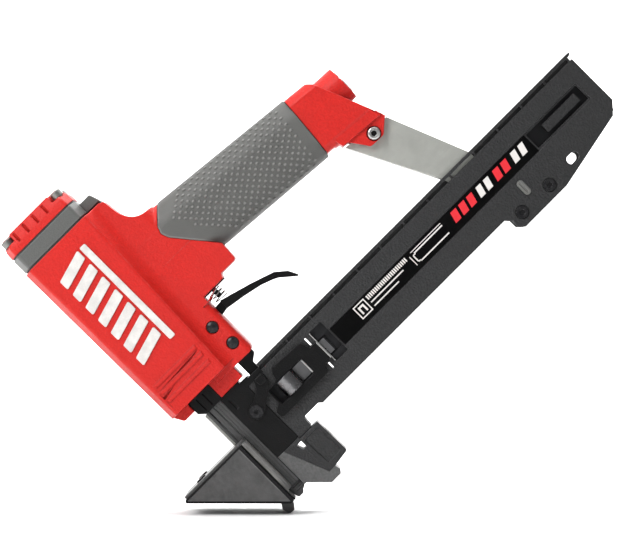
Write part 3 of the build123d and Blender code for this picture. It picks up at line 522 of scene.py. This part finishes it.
def zinc_plate():
    """Galvanised sheet: pale crystals a few millimetres across and faint rolling lines."""
    material, tree, shader, place = start_material("zinc_plate")
    base = settings().finish.zinc
    crystals = add_node(tree, "TexVoronoi", {"Vector": place, "Scale": 240.0})
    tone_shift = add_node(tree, "SeparateColor", {"Color": crystals.outputs["Color"]})
    blotch = blotches(tree, place, 60.0)
    lines = lines_along(tree, place, (1, 1, 0.04), 2400.0)
    tone = wash(
        tree, tone_shift.outputs["Red"], 0.35, base, toned(base, 0.86)
    )
    tone = wash(tree, blotch, 0.3, tone, toned(base, 0.92))
    # painted highlight: pale outer edges
    edges = worn_edges(tree, place, 0.0004)
    tone = wash(tree, edges, 0.4, tone, (0.8, 0.8, 0.78))
    set_colour(tree, shader, tone)
    shader.inputs["Metallic"].default_value = 0.75
    set_roughness(tree, shader, tone_shift.outputs["Green"], 0.10, 0.46)
    set_bump(tree, shader, lines, 0.00002)
    return material


def bare_steel(name, base, rough, stretch=(1, 1, 0.05), metallic=1.0, depth=0.000015):
    """Bright or dark metal with drawn lines along one tool direction."""
    material, tree, shader, place = start_material(name)
    lines = lines_along(tree, place, stretch, 3000.0)
    blotch = blotches(tree, place, 90.0)
    tone = wash(tree, blotch, 0.4, base, toned(base, 0.75))
    tone = wash(tree, lines, 0.3, tone, toned(base, 0.8))
    set_colour(tree, shader, tone)
    shader.inputs["Metallic"].default_value = metallic
    set_roughness(tree, shader, blotch, 0.12, rough)
    set_bump(tree, shader, lines, depth)
    return material


def spring_steel():
    return bare_steel("spring_steel", (0.56, 0.56, 0.55), 0.22)


def bright_screw():
    return bare_steel("bright_screw", (0.52, 0.52, 0.51), 0.24, (1, 1, 1))


def grey_screw():
    return bare_steel("grey_screw", (0.22, 0.22, 0.21), 0.36, (1, 1, 1), 0.9)


def coil_steel():
    return bare_steel("coil_steel", (0.17, 0.17, 0.175), 0.24, (1, 1, 0.03))


def ground_steel():
    return bare_steel("ground_steel", (0.24, 0.24, 0.24), 0.34, (0.05, 1, 1))


def blued_steel():
    return bare_steel("blued_steel", (0.020, 0.020, 0.022), 0.34, (0.05, 1, 1), 0.7)


def nose_steel():
    return bare_steel("nose_steel", (0.075, 0.075, 0.075), 0.36, (1, 1, 0.04), 0.8, 0.00004)


# Pale steel of the strips that stand in for edge highlights.
def cut_edge():
    return bare_steel("cut_edge", (0.42, 0.42, 0.41), 0.34, (1, 1, 1), 0.6)


def machined_alloy():
    return bare_steel("machined_alloy", (0.60, 0.60, 0.61), 0.30, (1, 1, 0.2))


def black_oxide():
    """Oil-black steel with a low sheen."""
    material, tree, shader, place = start_material("black_oxide")
    blotch = blotches(tree, place, 300.0)
    # painted highlight: lighter outer edges
    edges = worn_edges(tree, place, 0.0003)
    tone = blend_colour(tree, blotch, (0.008, 0.008, 0.009), (0.016, 0.016, 0.017))
    tone = wash(tree, edges, 0.35, tone, (0.16, 0.16, 0.16))
    set_colour(tree, shader, tone)
    set_roughness(tree, shader, blotch, 0.12, 0.20)
    shader.inputs["Specular IOR Level"].default_value = 0.2
    return material


def gloss_black():
    """Smooth printed strip under a clear coat."""
    material, tree, shader, place = start_material("gloss_black")
    blotch = blotches(tree, place, 70.0)
    tone = blend_colour(tree, blotch, (0.0006, 0.0006, 0.0008), (0.0012, 0.0012, 0.0012))
    set_colour(tree, shader, tone)
    set_roughness(tree, shader, blotch, 0.08, 0.30)
    shader.inputs["Specular IOR Level"].default_value = 0.07
    return material


def print_ink(name, base):
    material, tree, shader, place = start_material(name)
    grain = grain_at(tree, place, 3000.0)
    tone = wash(tree, grain["Speckle"], 0.3, base, toned(base, 0.85))
    set_colour(tree, shader, tone)
    shader.inputs["Roughness"].default_value = 0.42
    set_bump(tree, shader, grain["Height"], 0.00002)
    return material


def light_mark():
    return print_ink("light_mark", settings().finish.mark_light)


def raised_mark():
    """Worn silver paint on the raised bars, with painted shade round their feet."""
    material, tree, shader, place = start_material("raised_mark")
    base = settings().finish.mark_light
    clouds = blotches(tree, place, 150.0)
    grain = grain_at(tree, place, 900.0)
    recess_shade = recesses(tree, 0.0012)
    tone = wash(tree, clouds, 0.6, base, toned(base, 0.66))
    tone = wash(tree, grain["Speckle"], 0.3, tone, toned(base, 0.8))
    # painted shade: dark red where the bars meet the barrel
    tone = wash(tree, recess_shade, 0.7, tone, (0.16, 0.05, 0.04))
    set_colour(tree, shader, tone)
    shader.inputs["Roughness"].default_value = 0.40
    set_bump(tree, shader, grain["Height"], 0.00012)
    return material


def red_mark():
    return print_ink("red_mark", settings().finish.mark_red)


def finish(make):
    """The material that a function makes, made once."""
    return bpy.data.materials.get("look_" + make.__name__) or make()


def wear_finish(obj, make):
    obj.data.materials.clear()
    obj.data.materials.append(finish(make))


# ---- mesh helpers ----
DOUBLES = 1e-6                                  # corners nearer than this are one
FLAT = radians(0.6)                             # faces that meet at less than this are one face
SHARP = radians(28)                             # edges that turn more than this are rounded
STRAY = 0.45                                    # share of an edge's width that a new corner may stray
DRAWN_SEGMENTS = 2                              # facets across an edge of a drawn piece


def link_mesh(name, bm, make):
    """A finished object made from a bmesh, which is used up."""
    mesh = bpy.data.meshes.new(name)
    bm.to_mesh(mesh)
    bm.free()
    piece = bpy.data.objects.new(name, mesh)
    bpy.context.scene.collection.objects.link(piece)
    wear_finish(piece, make)
    return piece


def make_piece(name, bm, make):
    """Turns a bmesh in the row frame into a finished piece that rides on the root."""
    bmesh.ops.recalc_face_normals(bm, faces=bm.faces)
    piece = link_mesh(name, bm, make)
    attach(piece, "root")
    return piece


def smooth_by_area(piece):
    """Smooth shading that keeps the large faces flat beside rounded edges."""
    piece.data.shade_smooth()
    weighted = piece.modifiers.new("weighted_normals", "WEIGHTED_NORMAL")
    weighted.weight = 100
    weighted.keep_sharp = False


def merged_copy(node):
    """The node's mesh with its doubles merged and its flat faces whole."""
    bm = bmesh.new()
    bm.from_mesh(frame["nodes"][node].data)
    bmesh.ops.remove_doubles(bm, verts=bm.verts, dist=DOUBLES)
    bmesh.ops.dissolve_limit(bm, angle_limit=FLAT, verts=bm.verts, edges=bm.edges)
    return bm


def round_edges(bm, width, segments):
    """Bevels every sharp edge, and holds the new corners close to the old surface."""
    surface = BVHTree.FromBMesh(bm)
    sharp = [edge for edge in bm.edges if edge.is_manifold and edge.calc_face_angle(0) > SHARP]
    bmesh.ops.bevel(
        bm, geom=sharp, offset=width, offset_type="OFFSET", segments=segments, profile=0.5,
        affect="EDGES", clamp_overlap=False, material=-1,
    )
    for vertex in bm.verts:
        place, _, _, distance = surface.find_nearest(vertex.co)
        if distance > width * STRAY:
            vertex.co = place


def replace_node(node, name, bm, make):
    """Puts a finished piece in the place of a CAD node."""
    piece = link_mesh(name, bm, make)
    smooth_by_area(piece)
    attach(piece, body_of(node))
    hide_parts(node)
    return piece


def add_drawing(name, bm, place, edge, make):
    """Rounds the edges of a drawn piece, then puts it in its place on the root."""
    bmesh.ops.recalc_face_normals(bm, faces=bm.faces)
    round_edges(bm, edge, DRAWN_SEGMENTS)
    bmesh.ops.transform(bm, matrix=place, verts=bm.verts)
    smooth_by_area(make_piece(name, bm, make))


def body_of(node):
    return next(body for body, nodes in frame["record"]["behaviour"]["bodies"].items() if node in nodes)


def soften_all(nodes, width, make):
    """Replaces CAD nodes by copies with rounded edges, in the same places."""
    for node in nodes:
        bm = merged_copy(node)
        round_edges(bm, width, settings().edges.segments)
        replace_node(node, node + "_soft", bm, make)


def finish_nodes(nodes, make):
    """Gives CAD nodes, as packed, their material."""
    for node in nodes:
        wear_finish(frame["nodes"][node], make)


def add_plate(bm, points, low, high):
    """Flat plate of a side outline, points (x, z), between two depths, in the tool frame."""
    base = [bm.verts.new((x, low, z)) for x, z in points]
    face = bm.faces.new(base)
    grown = bmesh.ops.extrude_face_region(bm, geom=[face])
    moved = [item for item in grown["geom"] if isinstance(item, bmesh.types.BMVert)]
    bmesh.ops.translate(bm, verts=moved, vec=(0, high - low, 0))


def rectangle(left, right, bottom, top, slant=0.0):
    """Corners of a rectangle, or of a bar whose top is pushed along by a slant."""
    return [(left, bottom), (right, bottom), (right + slant, top), (left + slant, top)]


def rounded_box(points, radius, steps=4):
    """Corners of a convex outline, each turned into a short arc."""
    rounded = []
    count = len(points)
    for index, corner in enumerate(points):
        here = Vector(corner)
        before = (Vector(points[index - 1]) - here).normalized()
        after = (Vector(points[(index + 1) % count]) - here).normalized()
        half = before.angle(after) / 2
        reach = radius / tan(half)
        centre = here + (before + after).normalized() * radius / sin(half)
        start = (before * reach + here - centre).normalized()
        sweep = start.angle_signed((after * reach + here - centre).normalized())
        for step in range(steps + 1):
            spoke = Matrix.Rotation(-sweep * step / steps, 2) @ start
            rounded.append(tuple(centre + spoke * radius))
    return rounded


# ---- pieces ----
GRIP_START = Vector((57, 0, 160.5)) * MM        # a point on the handle's centre line
GRIP_SLOPE = radians(5.2)
GRIP_REACH = (70 * MM, 158.5 * MM)              # the nubs' reach along the tool
GRIP_FRONT = [                                  # the grip's slanted front edge, (x, z) in the tool frame
    Vector(point) * MM for point in ((80.5, 137.5), (60.5, 162), (58.6, 166.8), (60.2, 171.3), (70, 182.4))
]
NUB_MARGIN = 9.5 * MM                           # from the grip's slanted edge to the first nubs
ROW_SQUEEZE = 0.78                              # height between two rows, as a share of the row step
ROW_REACH = 21.4 * MM                           # height of the nubs' field to each side of the centre line
NUB_BURIED = 0.35                               # shares of a nub's height: the dome's centre below the
NUB_CUT = 0.3                                   # surface, and where its lower part is cut off
OUTSIDE = 50 * MM                               # clear of the grip's sides
STEEPEST = 0.16                                 # least share of a nub's normal that points sideways


class NAILER_OT_grip(bpy.types.Operator):
    """Moulded grip sleeve with its raised nubs"""

    bl_idname = "nailer.grip"
    bl_label = "Grip"

    def execute(self, context):
        grip = settings().grip
        bm = merged_copy("grip_sleeve")
        surface = BVHTree.FromBMesh(bm)
        round_edges(bm, settings().edges.casting, settings().edges.segments)
        axis = TURN @ Vector((cos(GRIP_SLOPE), 0, -sin(GRIP_SLOPE)))
        across = Vector((0, 1, 0))
        up = axis.cross(across).normalized() * -1
        start = TOOL @ GRIP_START
        nub = self.nub_mesh(grip)
        # height share of each nub corner, which the grip rubber uses to paint a highlight on the nub tops
        raised = bm.verts.layers.float.new("raised")
        for place, normal in self.nub_places(grip, surface, start, axis, across, up):
            side = normal.cross(axis).normalized()
            forward = side.cross(normal).normalized()
            turn = Matrix.Translation(place) @ Matrix((forward, side, normal)).transposed().to_4x4()
            corners = []
            for vertex in nub.vertices:
                corner = bm.verts.new(turn @ vertex.co)
                corner[raised] = max(0.0, vertex.co.z / grip.nub_height)
                corners.append(corner)
            for polygon in nub.polygons:
                bm.faces.new([corners[index] for index in polygon.vertices])
        bpy.data.meshes.remove(nub)
        replace_node("grip_sleeve", "grip_cover", bm, grip_rubber)
        return {"FINISHED"}

    def nub_mesh(self, grip):
        """Low oval dome standing on the plane Z = 0."""
        bm = bmesh.new()
        bmesh.ops.create_uvsphere(bm, u_segments=10, v_segments=8, radius=1)
        size = (grip.nub_length / 2, grip.nub_width / 2, grip.nub_height * (1 + NUB_BURIED))
        bmesh.ops.scale(bm, vec=size, verts=bm.verts)
        bmesh.ops.translate(bm, vec=(0, 0, -grip.nub_height * NUB_BURIED), verts=bm.verts)
        bmesh.ops.bisect_plane(
            bm, geom=[*bm.verts, *bm.edges, *bm.faces], plane_co=(0, 0, -grip.nub_height * NUB_CUT),
            plane_no=(0, 0, -1), clear_outer=True,
        )
        rim = [edge for edge in bm.edges if edge.is_boundary]
        bmesh.ops.holes_fill(bm, edges=rim)
        mesh = bpy.data.meshes.new("nub")
        bm.to_mesh(mesh)
        bm.free()
        return mesh

    def nub_places(self, grip, surface, start, axis, across, up):
        """Points and normals of the nubs: staggered rows on both sides, clear of the slanted edge."""
        row_height = grip.row * ROW_SQUEEZE
        rows = int(ROW_REACH / row_height)
        for side in (NEAR, FAR):
            for row in range(-rows, rows + 1):
                along = GRIP_REACH[0] - GRIP_START.x + (row % 2) * grip.pitch / 2
                while along + GRIP_START.x < GRIP_REACH[1]:
                    centre = start + axis * along + up * (row * row_height)
                    outside = centre + across * side * OUTSIDE
                    hit, normal, _, _ = surface.ray_cast(outside, -across * side)
                    if hit and self.is_clear(TO_TOOL @ hit) and abs(normal.dot(across)) > STEEPEST:
                        yield hit, normal
                    along += grip.pitch

    def is_clear(self, point):
        """Whether a point is far enough inside the sleeve from its slanted front edges."""
        here = Vector((point.x, point.z))
        for first, second in zip(GRIP_FRONT, GRIP_FRONT[1:]):
            edge, offset = (second - first).normalized(), here - first
            if edge.y * offset.x - edge.x * offset.y < NUB_MARGIN:
                return False
        return True


SMALL_BLACK = ("valve_plate", "trigger", "hanger_lug", "release_lever", "spring_housing")
BLACK_BLOCKS = ("nose_block", "nose_bracket")
PLATES = ("side_plate_near", "side_plate_far", "top_rail")
NOSE_PLATES = ("nose_front_plate", "channel_spacers", "nose_back_plate")


SHOE_RIM = 1.3 * MM                             # width of the shoe's rim, painted black as shade
SHOE_SINK = 0.4 * MM                            # how far its side faces lie below the rim
RIM_DEPTH = 0.25 * MM                           # faces this near the side's plane are rim
TAIL_STOP = (265 * MM, 292 * MM, 46.6 * MM, 52.6 * MM)     # left, right, bottom and top
TAIL_STOP_FACE = -8.9 * MM
# pale strips as painted highlights on the edges of the spring frame's window and pocket
HIGHLIGHT_EDGES = (                                   # left, right, bottom, top, near and far side, in mm
    (64.0, 64.8, 45.0, 54.6, -14.6, -9.2),
    (77.9, 78.5, 43.6, 56.0, -15.3, -15.0),
    (78.5, 79.0, 40.5, 62.5, -11.8, -11.4),
)
STRUT_SCREW = Vector((190.5, 0, 119.7)) * MM
SCREW_SHADE = (3.7 * MM, 4.5 * MM)              # inner and outer radius of the shaded ring
SHADE_FACE = -13.26 * MM
SHADE_THICKNESS = 0.05 * MM
SHADE_STEPS = 48
SOCKET_RADIUS = 1.85 * MM
SOCKET_DEPTHS = (-15.35 * MM, -14.3 * MM)


class NAILER_OT_castings(bpy.types.Operator):
    """Painted castings of the barrel, handle and end cap, with soft edges"""

    bl_idname = "nailer.castings"
    bl_label = "Castings"

    def execute(self, context):
        edges = settings().edges
        soften_all(("housing", "top_cap"), edges.casting, red_paint)
        soften_all(("end_cap",), edges.casting / 2, red_paint)
        soften_all(("cylinder_head",), edges.casting, grey_paint)
        finish_nodes(("head_gaskets", "end_cap_seal"), black_rubber)
        return {"FINISHED"}


class NAILER_OT_inner_parts(bpy.types.Operator):
    """Finishes of the pieces inside the engine and the trigger valve"""

    bl_idname = "nailer.inner_parts"
    bl_label = "Inner parts"

    def execute(self, context):
        finish_nodes(("cylinder_sleeve", "piston", "head_valve", "valve_body"), machined_alloy)
        finish_nodes(("body_seals", "bumper", "piston_seal", "head_valve_seal"), black_rubber)
        finish_nodes(("driver_blade",), ground_steel)
        finish_nodes(("staple_rail", "guide_liner_near", "guide_liner_far"), blued_steel)
        finish_nodes(("tail_spacers", "nose_screws"), black_oxide)
        finish_nodes(("head_valve_spring",), spring_steel)
        return {"FINISHED"}


class NAILER_OT_trigger_group(bpy.types.Operator):
    """Trigger, valve stem and their springs"""

    bl_idname = "nailer.trigger_group"
    bl_label = "Trigger group"

    def execute(self, context):
        edges = settings().edges
        soften_all(SMALL_BLACK, edges.sheet, deep_black)
        soften_all(("valve_stem",), edges.sheet, black_oxide)
        finish_nodes(("trigger_spring",), spring_steel)
        return {"FINISHED"}


class NAILER_OT_nose(bpy.types.Operator):
    """Nose plates, floor shoe and foot"""

    bl_idname = "nailer.nose"
    bl_label = "Nose and shoe"

    def execute(self, context):
        edges = settings().edges
        soften_all(BLACK_BLOCKS, edges.block, deep_black)
        soften_all(("foot_block",), edges.block, black_texture)
        soften_all(("shoe_cover", "toe_lug", "nose_tip"), edges.block, cast_grey)
        soften_all(("foot_wedge",), edges.block, cast_pale)
        soften_all(NOSE_PLATES, edges.sheet, nose_steel)
        soften_all(("wear_strip",), edges.sheet, zinc_plate)
        self.shoe()
        return {"FINISHED"}

    def shoe(self):
        """Shoe with its side faces sunk inside a rim, which is painted black as shade along its edges."""
        bm = merged_copy("shoe")
        low, high = tool_box("shoe")
        for side, height in ((NEAR, low.y), (FAR, high.y)):
            sides = [
                face for face in bm.faces
                if face.normal.y * side > 0.99 and abs(face.calc_center_median().y - height) < 1e-5
            ]
            bmesh.ops.inset_region(
                bm, faces=sides, thickness=SHOE_RIM, depth=-SHOE_SINK, use_even_offset=True
            )
        round_edges(bm, settings().edges.sheet, settings().edges.segments)
        piece = replace_node("shoe", "shoe_soft", bm, cast_shoe)
        # painted shade: the rim faces take the deep black
        piece.data.materials.append(finish(deep_black))
        for polygon in piece.data.polygons:
            polygon.material_index = int(abs(polygon.center.y) > high.y - RIM_DEPTH)


class NAILER_OT_magazine(bpy.types.Operator):
    """Magazine plates, rail, strut and feed pieces"""

    bl_idname = "nailer.magazine"
    bl_label = "Magazine"

    def execute(self, context):
        edges = settings().edges
        soften_all(PLATES, edges.sheet, black_texture)
        soften_all(("strut",), edges.sheet, zinc_plate)
        soften_all(("name_strip",), edges.sheet * 0.5, gloss_black)
        soften_all(("follower",), edges.sheet, blued_steel)
        soften_all(("feed_spring", "spring_axle"), edges.sheet, coil_steel)
        finish_nodes(("feed_strip",), coil_steel)
        self.tail_stop()
        self.window_edge()
        return {"FINISHED"}

    def tail_stop(self):
        """Stop plate seen through the window at the magazine's tail."""
        bm = bmesh.new()
        outline = rounded_box(rectangle(*TAIL_STOP), 0.6 * MM)
        add_plate(bm, outline, TAIL_STOP_FACE, tool_box("guide_liner_near")[0].y)
        add_drawing("tail_stop_plate", bm, TOOL, 0.2 * MM, black_texture)

    def window_edge(self):
        """Cut steel edges at the ends of the spring frame's window and pocket, made pale as painted highlights."""
        bm = bmesh.new()
        for edge in HIGHLIGHT_EDGES:
            left, right, bottom, top, near, far = [value * MM for value in edge]
            add_plate(bm, rectangle(left, right, bottom, top), near, far)
        add_drawing("spring_frame_edges", bm, TOOL, 0.08 * MM, cut_edge)


class NAILER_OT_fasteners(bpy.types.Operator):
    """Screws, pins and the inlet bushing"""

    bl_idname = "nailer.fasteners"
    bl_label = "Fasteners"

    def execute(self, context):
        edges = settings().edges
        soften_all(("column_pins", "lever_pivot", "foot_screws", "rear_screws", "shoe_cover_screws"),
                   edges.sheet, black_oxide)
        soften_all(("cap_screws", "end_cap_screws"), edges.sheet, grey_screw)
        soften_all(("slotted_pin",), edges.sheet, grey_screw)
        soften_all(("strut_screw", "inlet_bushing"), edges.sheet, bright_screw)
        self.dark_details()
        return {"FINISHED"}

    def dark_details(self):
        """Black pieces of painted shade: a ring of shadow round the strut screw's head and a plate in the bottom
        of its socket.
        """
        bm = bmesh.new()
        inner, outer = [
            [bm.verts.new((x, SHADE_FACE, z)) for x, z in self.polygon(radius, SHADE_STEPS)]
            for radius in SCREW_SHADE
        ]
        for turn in range(SHADE_STEPS):
            after = (turn + 1) % SHADE_STEPS
            bm.faces.new((inner[turn], inner[after], outer[after], outer[turn]))
        bmesh.ops.solidify(bm, geom=bm.faces, thickness=SHADE_THICKNESS)
        add_plate(bm, self.polygon(SOCKET_RADIUS, 6), *SOCKET_DEPTHS)
        bmesh.ops.transform(bm, matrix=TOOL, verts=bm.verts)
        make_piece("strut_screw_shade", bm, deep_black)

    def polygon(self, radius, count):
        """Corners of a regular polygon round the strut screw, in the tool's side view."""
        turns = [2 * pi * step / count for step in range(count)]
        return [(STRUT_SCREW.x + radius * cos(turn), STRUT_SCREW.z + radius * sin(turn)) for turn in turns]


EMBLEM = (-3.5 * MM, 17.0 * MM, 118.5 * MM, 194.5 * MM)     # left, right, bottom and top of the bars
LINE_BAR = (18.6 * MM, 22.9 * MM)
BAR_SLANT = 6.0 * MM
BAR_ROOT = 1.2 * MM                             # how deep the bars reach into the barrel
BARREL_ENDS = (84 * MM, 206 * MM)               # bottom and top of the barrel
BARREL_HALVES = (24.5 * MM, 26.4 * MM)          # its half widths there


class NAILER_OT_emblem(bpy.types.Operator):
    """Plain raised bars on both sides of the barrel"""

    bl_idname = "nailer.emblem"
    bl_label = "Raised bars"

    def execute(self, context):
        marks = settings().marks
        left, right, bottom, top = EMBLEM
        step = (top - bottom - BAR_SLANT - marks.bar_width) / (marks.bars - 1)
        outlines = []
        for index in range(marks.bars):
            low = bottom + index * step
            high = low + marks.bar_width
            outlines.append([(left, low), (right, low + BAR_SLANT), (right, high + BAR_SLANT), (left, high)])
        outlines.append(rectangle(*LINE_BAR, bottom, top))
        for side, name in ((NEAR, "raised_bars_near"), (FAR, "raised_bars_far")):
            bm = bmesh.new()
            for points in outlines:
                add_plate(bm, rounded_box(points, 0.9 * MM), 0, side * (marks.proud + BAR_ROOT))
            add_drawing(name, bm, TOOL @ self.side_plane(side), 0.25 * MM, raised_mark)
        return {"FINISHED"}

    def side_plane(self, side):
        """Leans a flat drawing onto the barrel's side, which widens upwards, just below its surface."""
        slope = (BARREL_HALVES[1] - BARREL_HALVES[0]) / (BARREL_ENDS[1] - BARREL_ENDS[0])
        shear = Matrix.Identity(4)
        shear[1][2] = side * slope
        shear[1][3] = side * (BARREL_HALVES[0] - slope * BARREL_ENDS[0] - BAR_ROOT)
        return shear


class NAILER_OT_label(bpy.types.Operator):
    """Plain printed marks on the magazine's name strip"""

    bl_idname = "nailer.label"
    bl_label = "Printed marks"

    def execute(self, context):
        light, red = self.light_outlines(), self.red_outlines()
        for side, ending in ((NEAR, "near"), (FAR, "far")):
            self.print_marks("light_marks_" + ending, light, light_mark, side)
            self.print_marks("red_marks_" + ending, red, red_mark, side)
        return {"FINISHED"}

    def print_marks(self, name, outlines, make, side):
        face = tool_box("name_strip")[0 if side == NEAR else 1].y
        thickness = settings().marks.print_thickness
        bm = bmesh.new()
        for points in outlines:
            add_plate(bm, [(x * MM, z * MM) for x, z in points], face, face + side * thickness)
        bmesh.ops.transform(bm, matrix=TOOL, verts=bm.verts)
        make_piece(name, bm, make)

    def frame_bars(self, x0, x1, z0, z1, line):
        """Four bars round a rectangle."""
        return [
            rectangle(x0, x1, z0, z0 + line), rectangle(x0, x1, z1 - line, z1),
            rectangle(x0, x0 + line, z0 + line, z1 - line), rectangle(x1 - line, x1, z0 + line, z1 - line),
        ]

    def light_outlines(self):
        """Light marks, in mm: a framed arch, a ruler, lines, an open box and slanted bars."""
        outlines = self.frame_bars(107.6, 116.4, 45.8, 54.8, 0.7)
        outlines += [rectangle(109.8, 114.2, 51.6, 52.8), rectangle(109.8, 110.9, 47.8, 51.6),
                     rectangle(113.1, 114.2, 47.8, 51.6)]
        outlines += [rectangle(118.2 + 1.45 * i, 119.1 + 1.45 * i, 51.8, 54.6) for i in range(23)]
        outlines += [rectangle(118.2, 145.4, 49.3, 50.1), rectangle(118.2, 138.8, 46.4, 47.2)]
        outlines += [rectangle(155.6, 180.6, 53.7, 54.2), rectangle(153.2, 153.7, 45.8, 52.6)]
        outlines += [rectangle(157.0, 180.6, 51.9, 52.7), rectangle(157.0, 180.6, 45.8, 46.6),
                     rectangle(155.2, 156.0, 47.2, 51.3), rectangle(155.2, 157.4, 51.3, 52.0, 0.6),
                     rectangle(155.9, 157.6, 46.4, 47.2, -0.6)]
        return outlines + self.slanted_bars(208.6, 6.2, 4.0, 2) + self.slanted_bars(237.6, 6.2, 4.0, 2)

    def red_outlines(self):
        """Red slanted bars between the light ones, in mm."""
        return self.slanted_bars(187.4, 6.6, 4.6, 3) + self.slanted_bars(222.6, 6.6, 4.6, 2)

    def slanted_bars(self, start, step, width, count):
        places = [start + step * index for index in range(count)]
        return [rectangle(x, x + width, 47.2, 54.0, 1.8) for x in places]


# ---- stage ----
AIM = Vector((44.56, 0, 139.2)) * MM            # where the camera looks
SENSOR = 36.0                                   # the camera's sensor width, in its own units
FLOOR_HALF = 3.0                                # the floor's half width, and its reach before the tool
BEND_START = 0.9                                # where the floor begins to rise behind the tool
BEND_RADIUS = 0.7
BEND_STEPS = 24
WALL_TOP = 3.0
LAMPS = (                                       # setting, place from the aim, aim and size
    ("key", (-0.85, -1.0, 0.75), AIM, 0.8),
    ("fill", (0.95, -1.0, -0.05), AIM, 1.0),
    ("top", (0.0, 0.15, 1.3), AIM, 0.9),
    ("back", (0.0, 0.5, 1.5), Vector((0, 1.5, 0.1)), 1.6),
    ("rear", (0.7, 1.2, 0.6), AIM, 0.9),
)


class NAILER_OT_stage(bpy.types.Operator):
    """Pale floor with a curved backdrop, soft lights and the camera"""

    bl_idname = "nailer.stage"
    bl_label = "Stage"

    def execute(self, context):
        self.backdrop()
        self.surround(context)
        self.lights(context)
        self.camera(context)
        return {"FINISHED"}

    def backdrop(self):
        floor_height = CAD_BOX[0][2]
        bm = bmesh.new()
        turns = [radians(90) * step / BEND_STEPS for step in range(BEND_STEPS + 1)]
        bend = [(BEND_START + BEND_RADIUS * sin(turn), BEND_RADIUS * (1 - cos(turn))) for turn in turns]
        profile = [(-FLOOR_HALF, 0), *bend, (BEND_START + BEND_RADIUS, WALL_TOP)]
        line = [bm.verts.new((-FLOOR_HALF, y, floor_height + rise)) for y, rise in profile]
        edges = [bm.edges.new(pair) for pair in zip(line, line[1:])]
        grown = bmesh.ops.extrude_edge_only(bm, edges=edges)
        moved = [item for item in grown["geom"] if isinstance(item, bmesh.types.BMVert)]
        bmesh.ops.translate(bm, vec=(2 * FLOOR_HALF, 0, 0), verts=moved)
        floor = link_mesh("studio_floor", bm, pale_floor)
        floor.data.shade_smooth()

    def surround(self, context):
        world = bpy.data.worlds.new("pale_surround")
        world.use_nodes = True
        background = world.node_tree.nodes["Background"]
        background.inputs["Color"].default_value = (1, 1, 1, 1)
        background.inputs["Strength"].default_value = settings().stage.sky
        context.scene.world = world

    def lights(self, context):
        for name, place, aim, size in LAMPS:
            light = bpy.data.lights.new(name, "AREA")
            light.shape = "DISK"
            light.size = size
            light.energy = getattr(settings().stage, name + "_power")
            lamp = bpy.data.objects.new(name, light)
            lamp.location = AIM + Vector(place)
            lamp.rotation_euler = (aim - lamp.location).to_track_quat("-Z", "Y").to_euler()
            context.scene.collection.objects.link(lamp)

    def camera(self, context):
        stage = settings().stage
        camera = bpy.data.cameras.new("camera")
        camera.sensor_width = SENSOR
        camera.lens = SENSOR * stage.distance / stage.view_width
        camera.clip_end = 20
        body = bpy.data.objects.new("camera", camera)
        body.location = AIM + Vector((0, -stage.distance, 0))
        body.rotation_euler = (radians(90), 0, 0)
        context.scene.collection.objects.link(body)
        context.scene.camera = body
        context.scene.view_settings.view_transform = "Standard"


def pale_floor():
    """Pale matt sheet, clear from behind so that the far side can be seen past the backdrop."""
    material, tree, shader, place = start_material("pale_floor")
    grain = blotches(tree, place, 3.0)
    tone = wash(tree, grain, 0.3, (0.86, 0.86, 0.86), (0.84, 0.84, 0.84))
    set_colour(tree, shader, tone)
    shader.inputs["Roughness"].default_value = 0.8
    shader.inputs["Specular IOR Level"].default_value = 0.2
    behind = tree.nodes.new("ShaderNodeNewGeometry").outputs["Backfacing"]
    clear = tree.nodes.new("ShaderNodeBsdfTransparent").outputs["BSDF"]
    seen = add_node(tree, "MixShader", {0: behind, 1: shader.outputs["BSDF"], 2: clear})
    tree.links.new(seen.outputs["Shader"], tree.nodes["Material Output"].inputs["Surface"])
    return material


# ---- panel and registration ----
OPERATORS = (
    NAILER_OT_castings,
    NAILER_OT_grip,
    NAILER_OT_emblem,
    NAILER_OT_inner_parts,
    NAILER_OT_trigger_group,
    NAILER_OT_nose,
    NAILER_OT_magazine,
    NAILER_OT_label,
    NAILER_OT_fasteners,
    NAILER_OT_stage,
)


class NailerSettings(bpy.types.PropertyGroup):
    """All of the nailer's settings."""

    finish: PointerProperty(name="Finish", description="Colours", type=NailerFinishSettings)
    edges: PointerProperty(name="Edges", description="Edge radii", type=NailerEdgeSettings)
    grip: PointerProperty(name="Grip", description="Nubs of the grip", type=NailerGripSettings)
    marks: PointerProperty(name="Marks", description="Raised and printed marks", type=NailerMarkSettings)
    stage: PointerProperty(name="Stage", description="Camera and lights", type=NailerStageSettings)


class NAILER_PT_panel(bpy.types.Panel):
    """Lists the nailer's steps"""

    bl_idname = "NAILER_PT_panel"
    bl_label = "Flooring Nailer"
    bl_space_type = "VIEW_3D"
    bl_region_type = "UI"
    bl_category = "Nailer"

    def draw(self, context):
        for operator in OPERATORS:
            self.layout.operator(operator.bl_idname)
        for group in ("finish", "edges", "grip", "marks", "stage"):
            box = self.layout.box()
            values = getattr(context.scene.nailer, group)
            for key in values.__annotations__:
                box.prop(values, key)


CLASSES = (
    NailerFinishSettings,
    NailerEdgeSettings,
    NailerGripSettings,
    NailerMarkSettings,
    NailerStageSettings,
    NailerSettings,
    *OPERATORS,
    NAILER_PT_panel,
)


def register():
    for kind in CLASSES:
        bpy.utils.register_class(kind)
    bpy.types.Scene.nailer = PointerProperty(
        name="Nailer", description="Settings of the flooring nailer", type=NailerSettings
    )


def unregister():
    del bpy.types.Scene.nailer
    for kind in reversed(CLASSES):
        bpy.utils.unregister_class(kind)


def main():
    register()
    for operator in OPERATORS:
        group, name = operator.bl_idname.split(".")
        getattr(getattr(bpy.ops, group), name)()


if __name__ == "__main__":
    main()
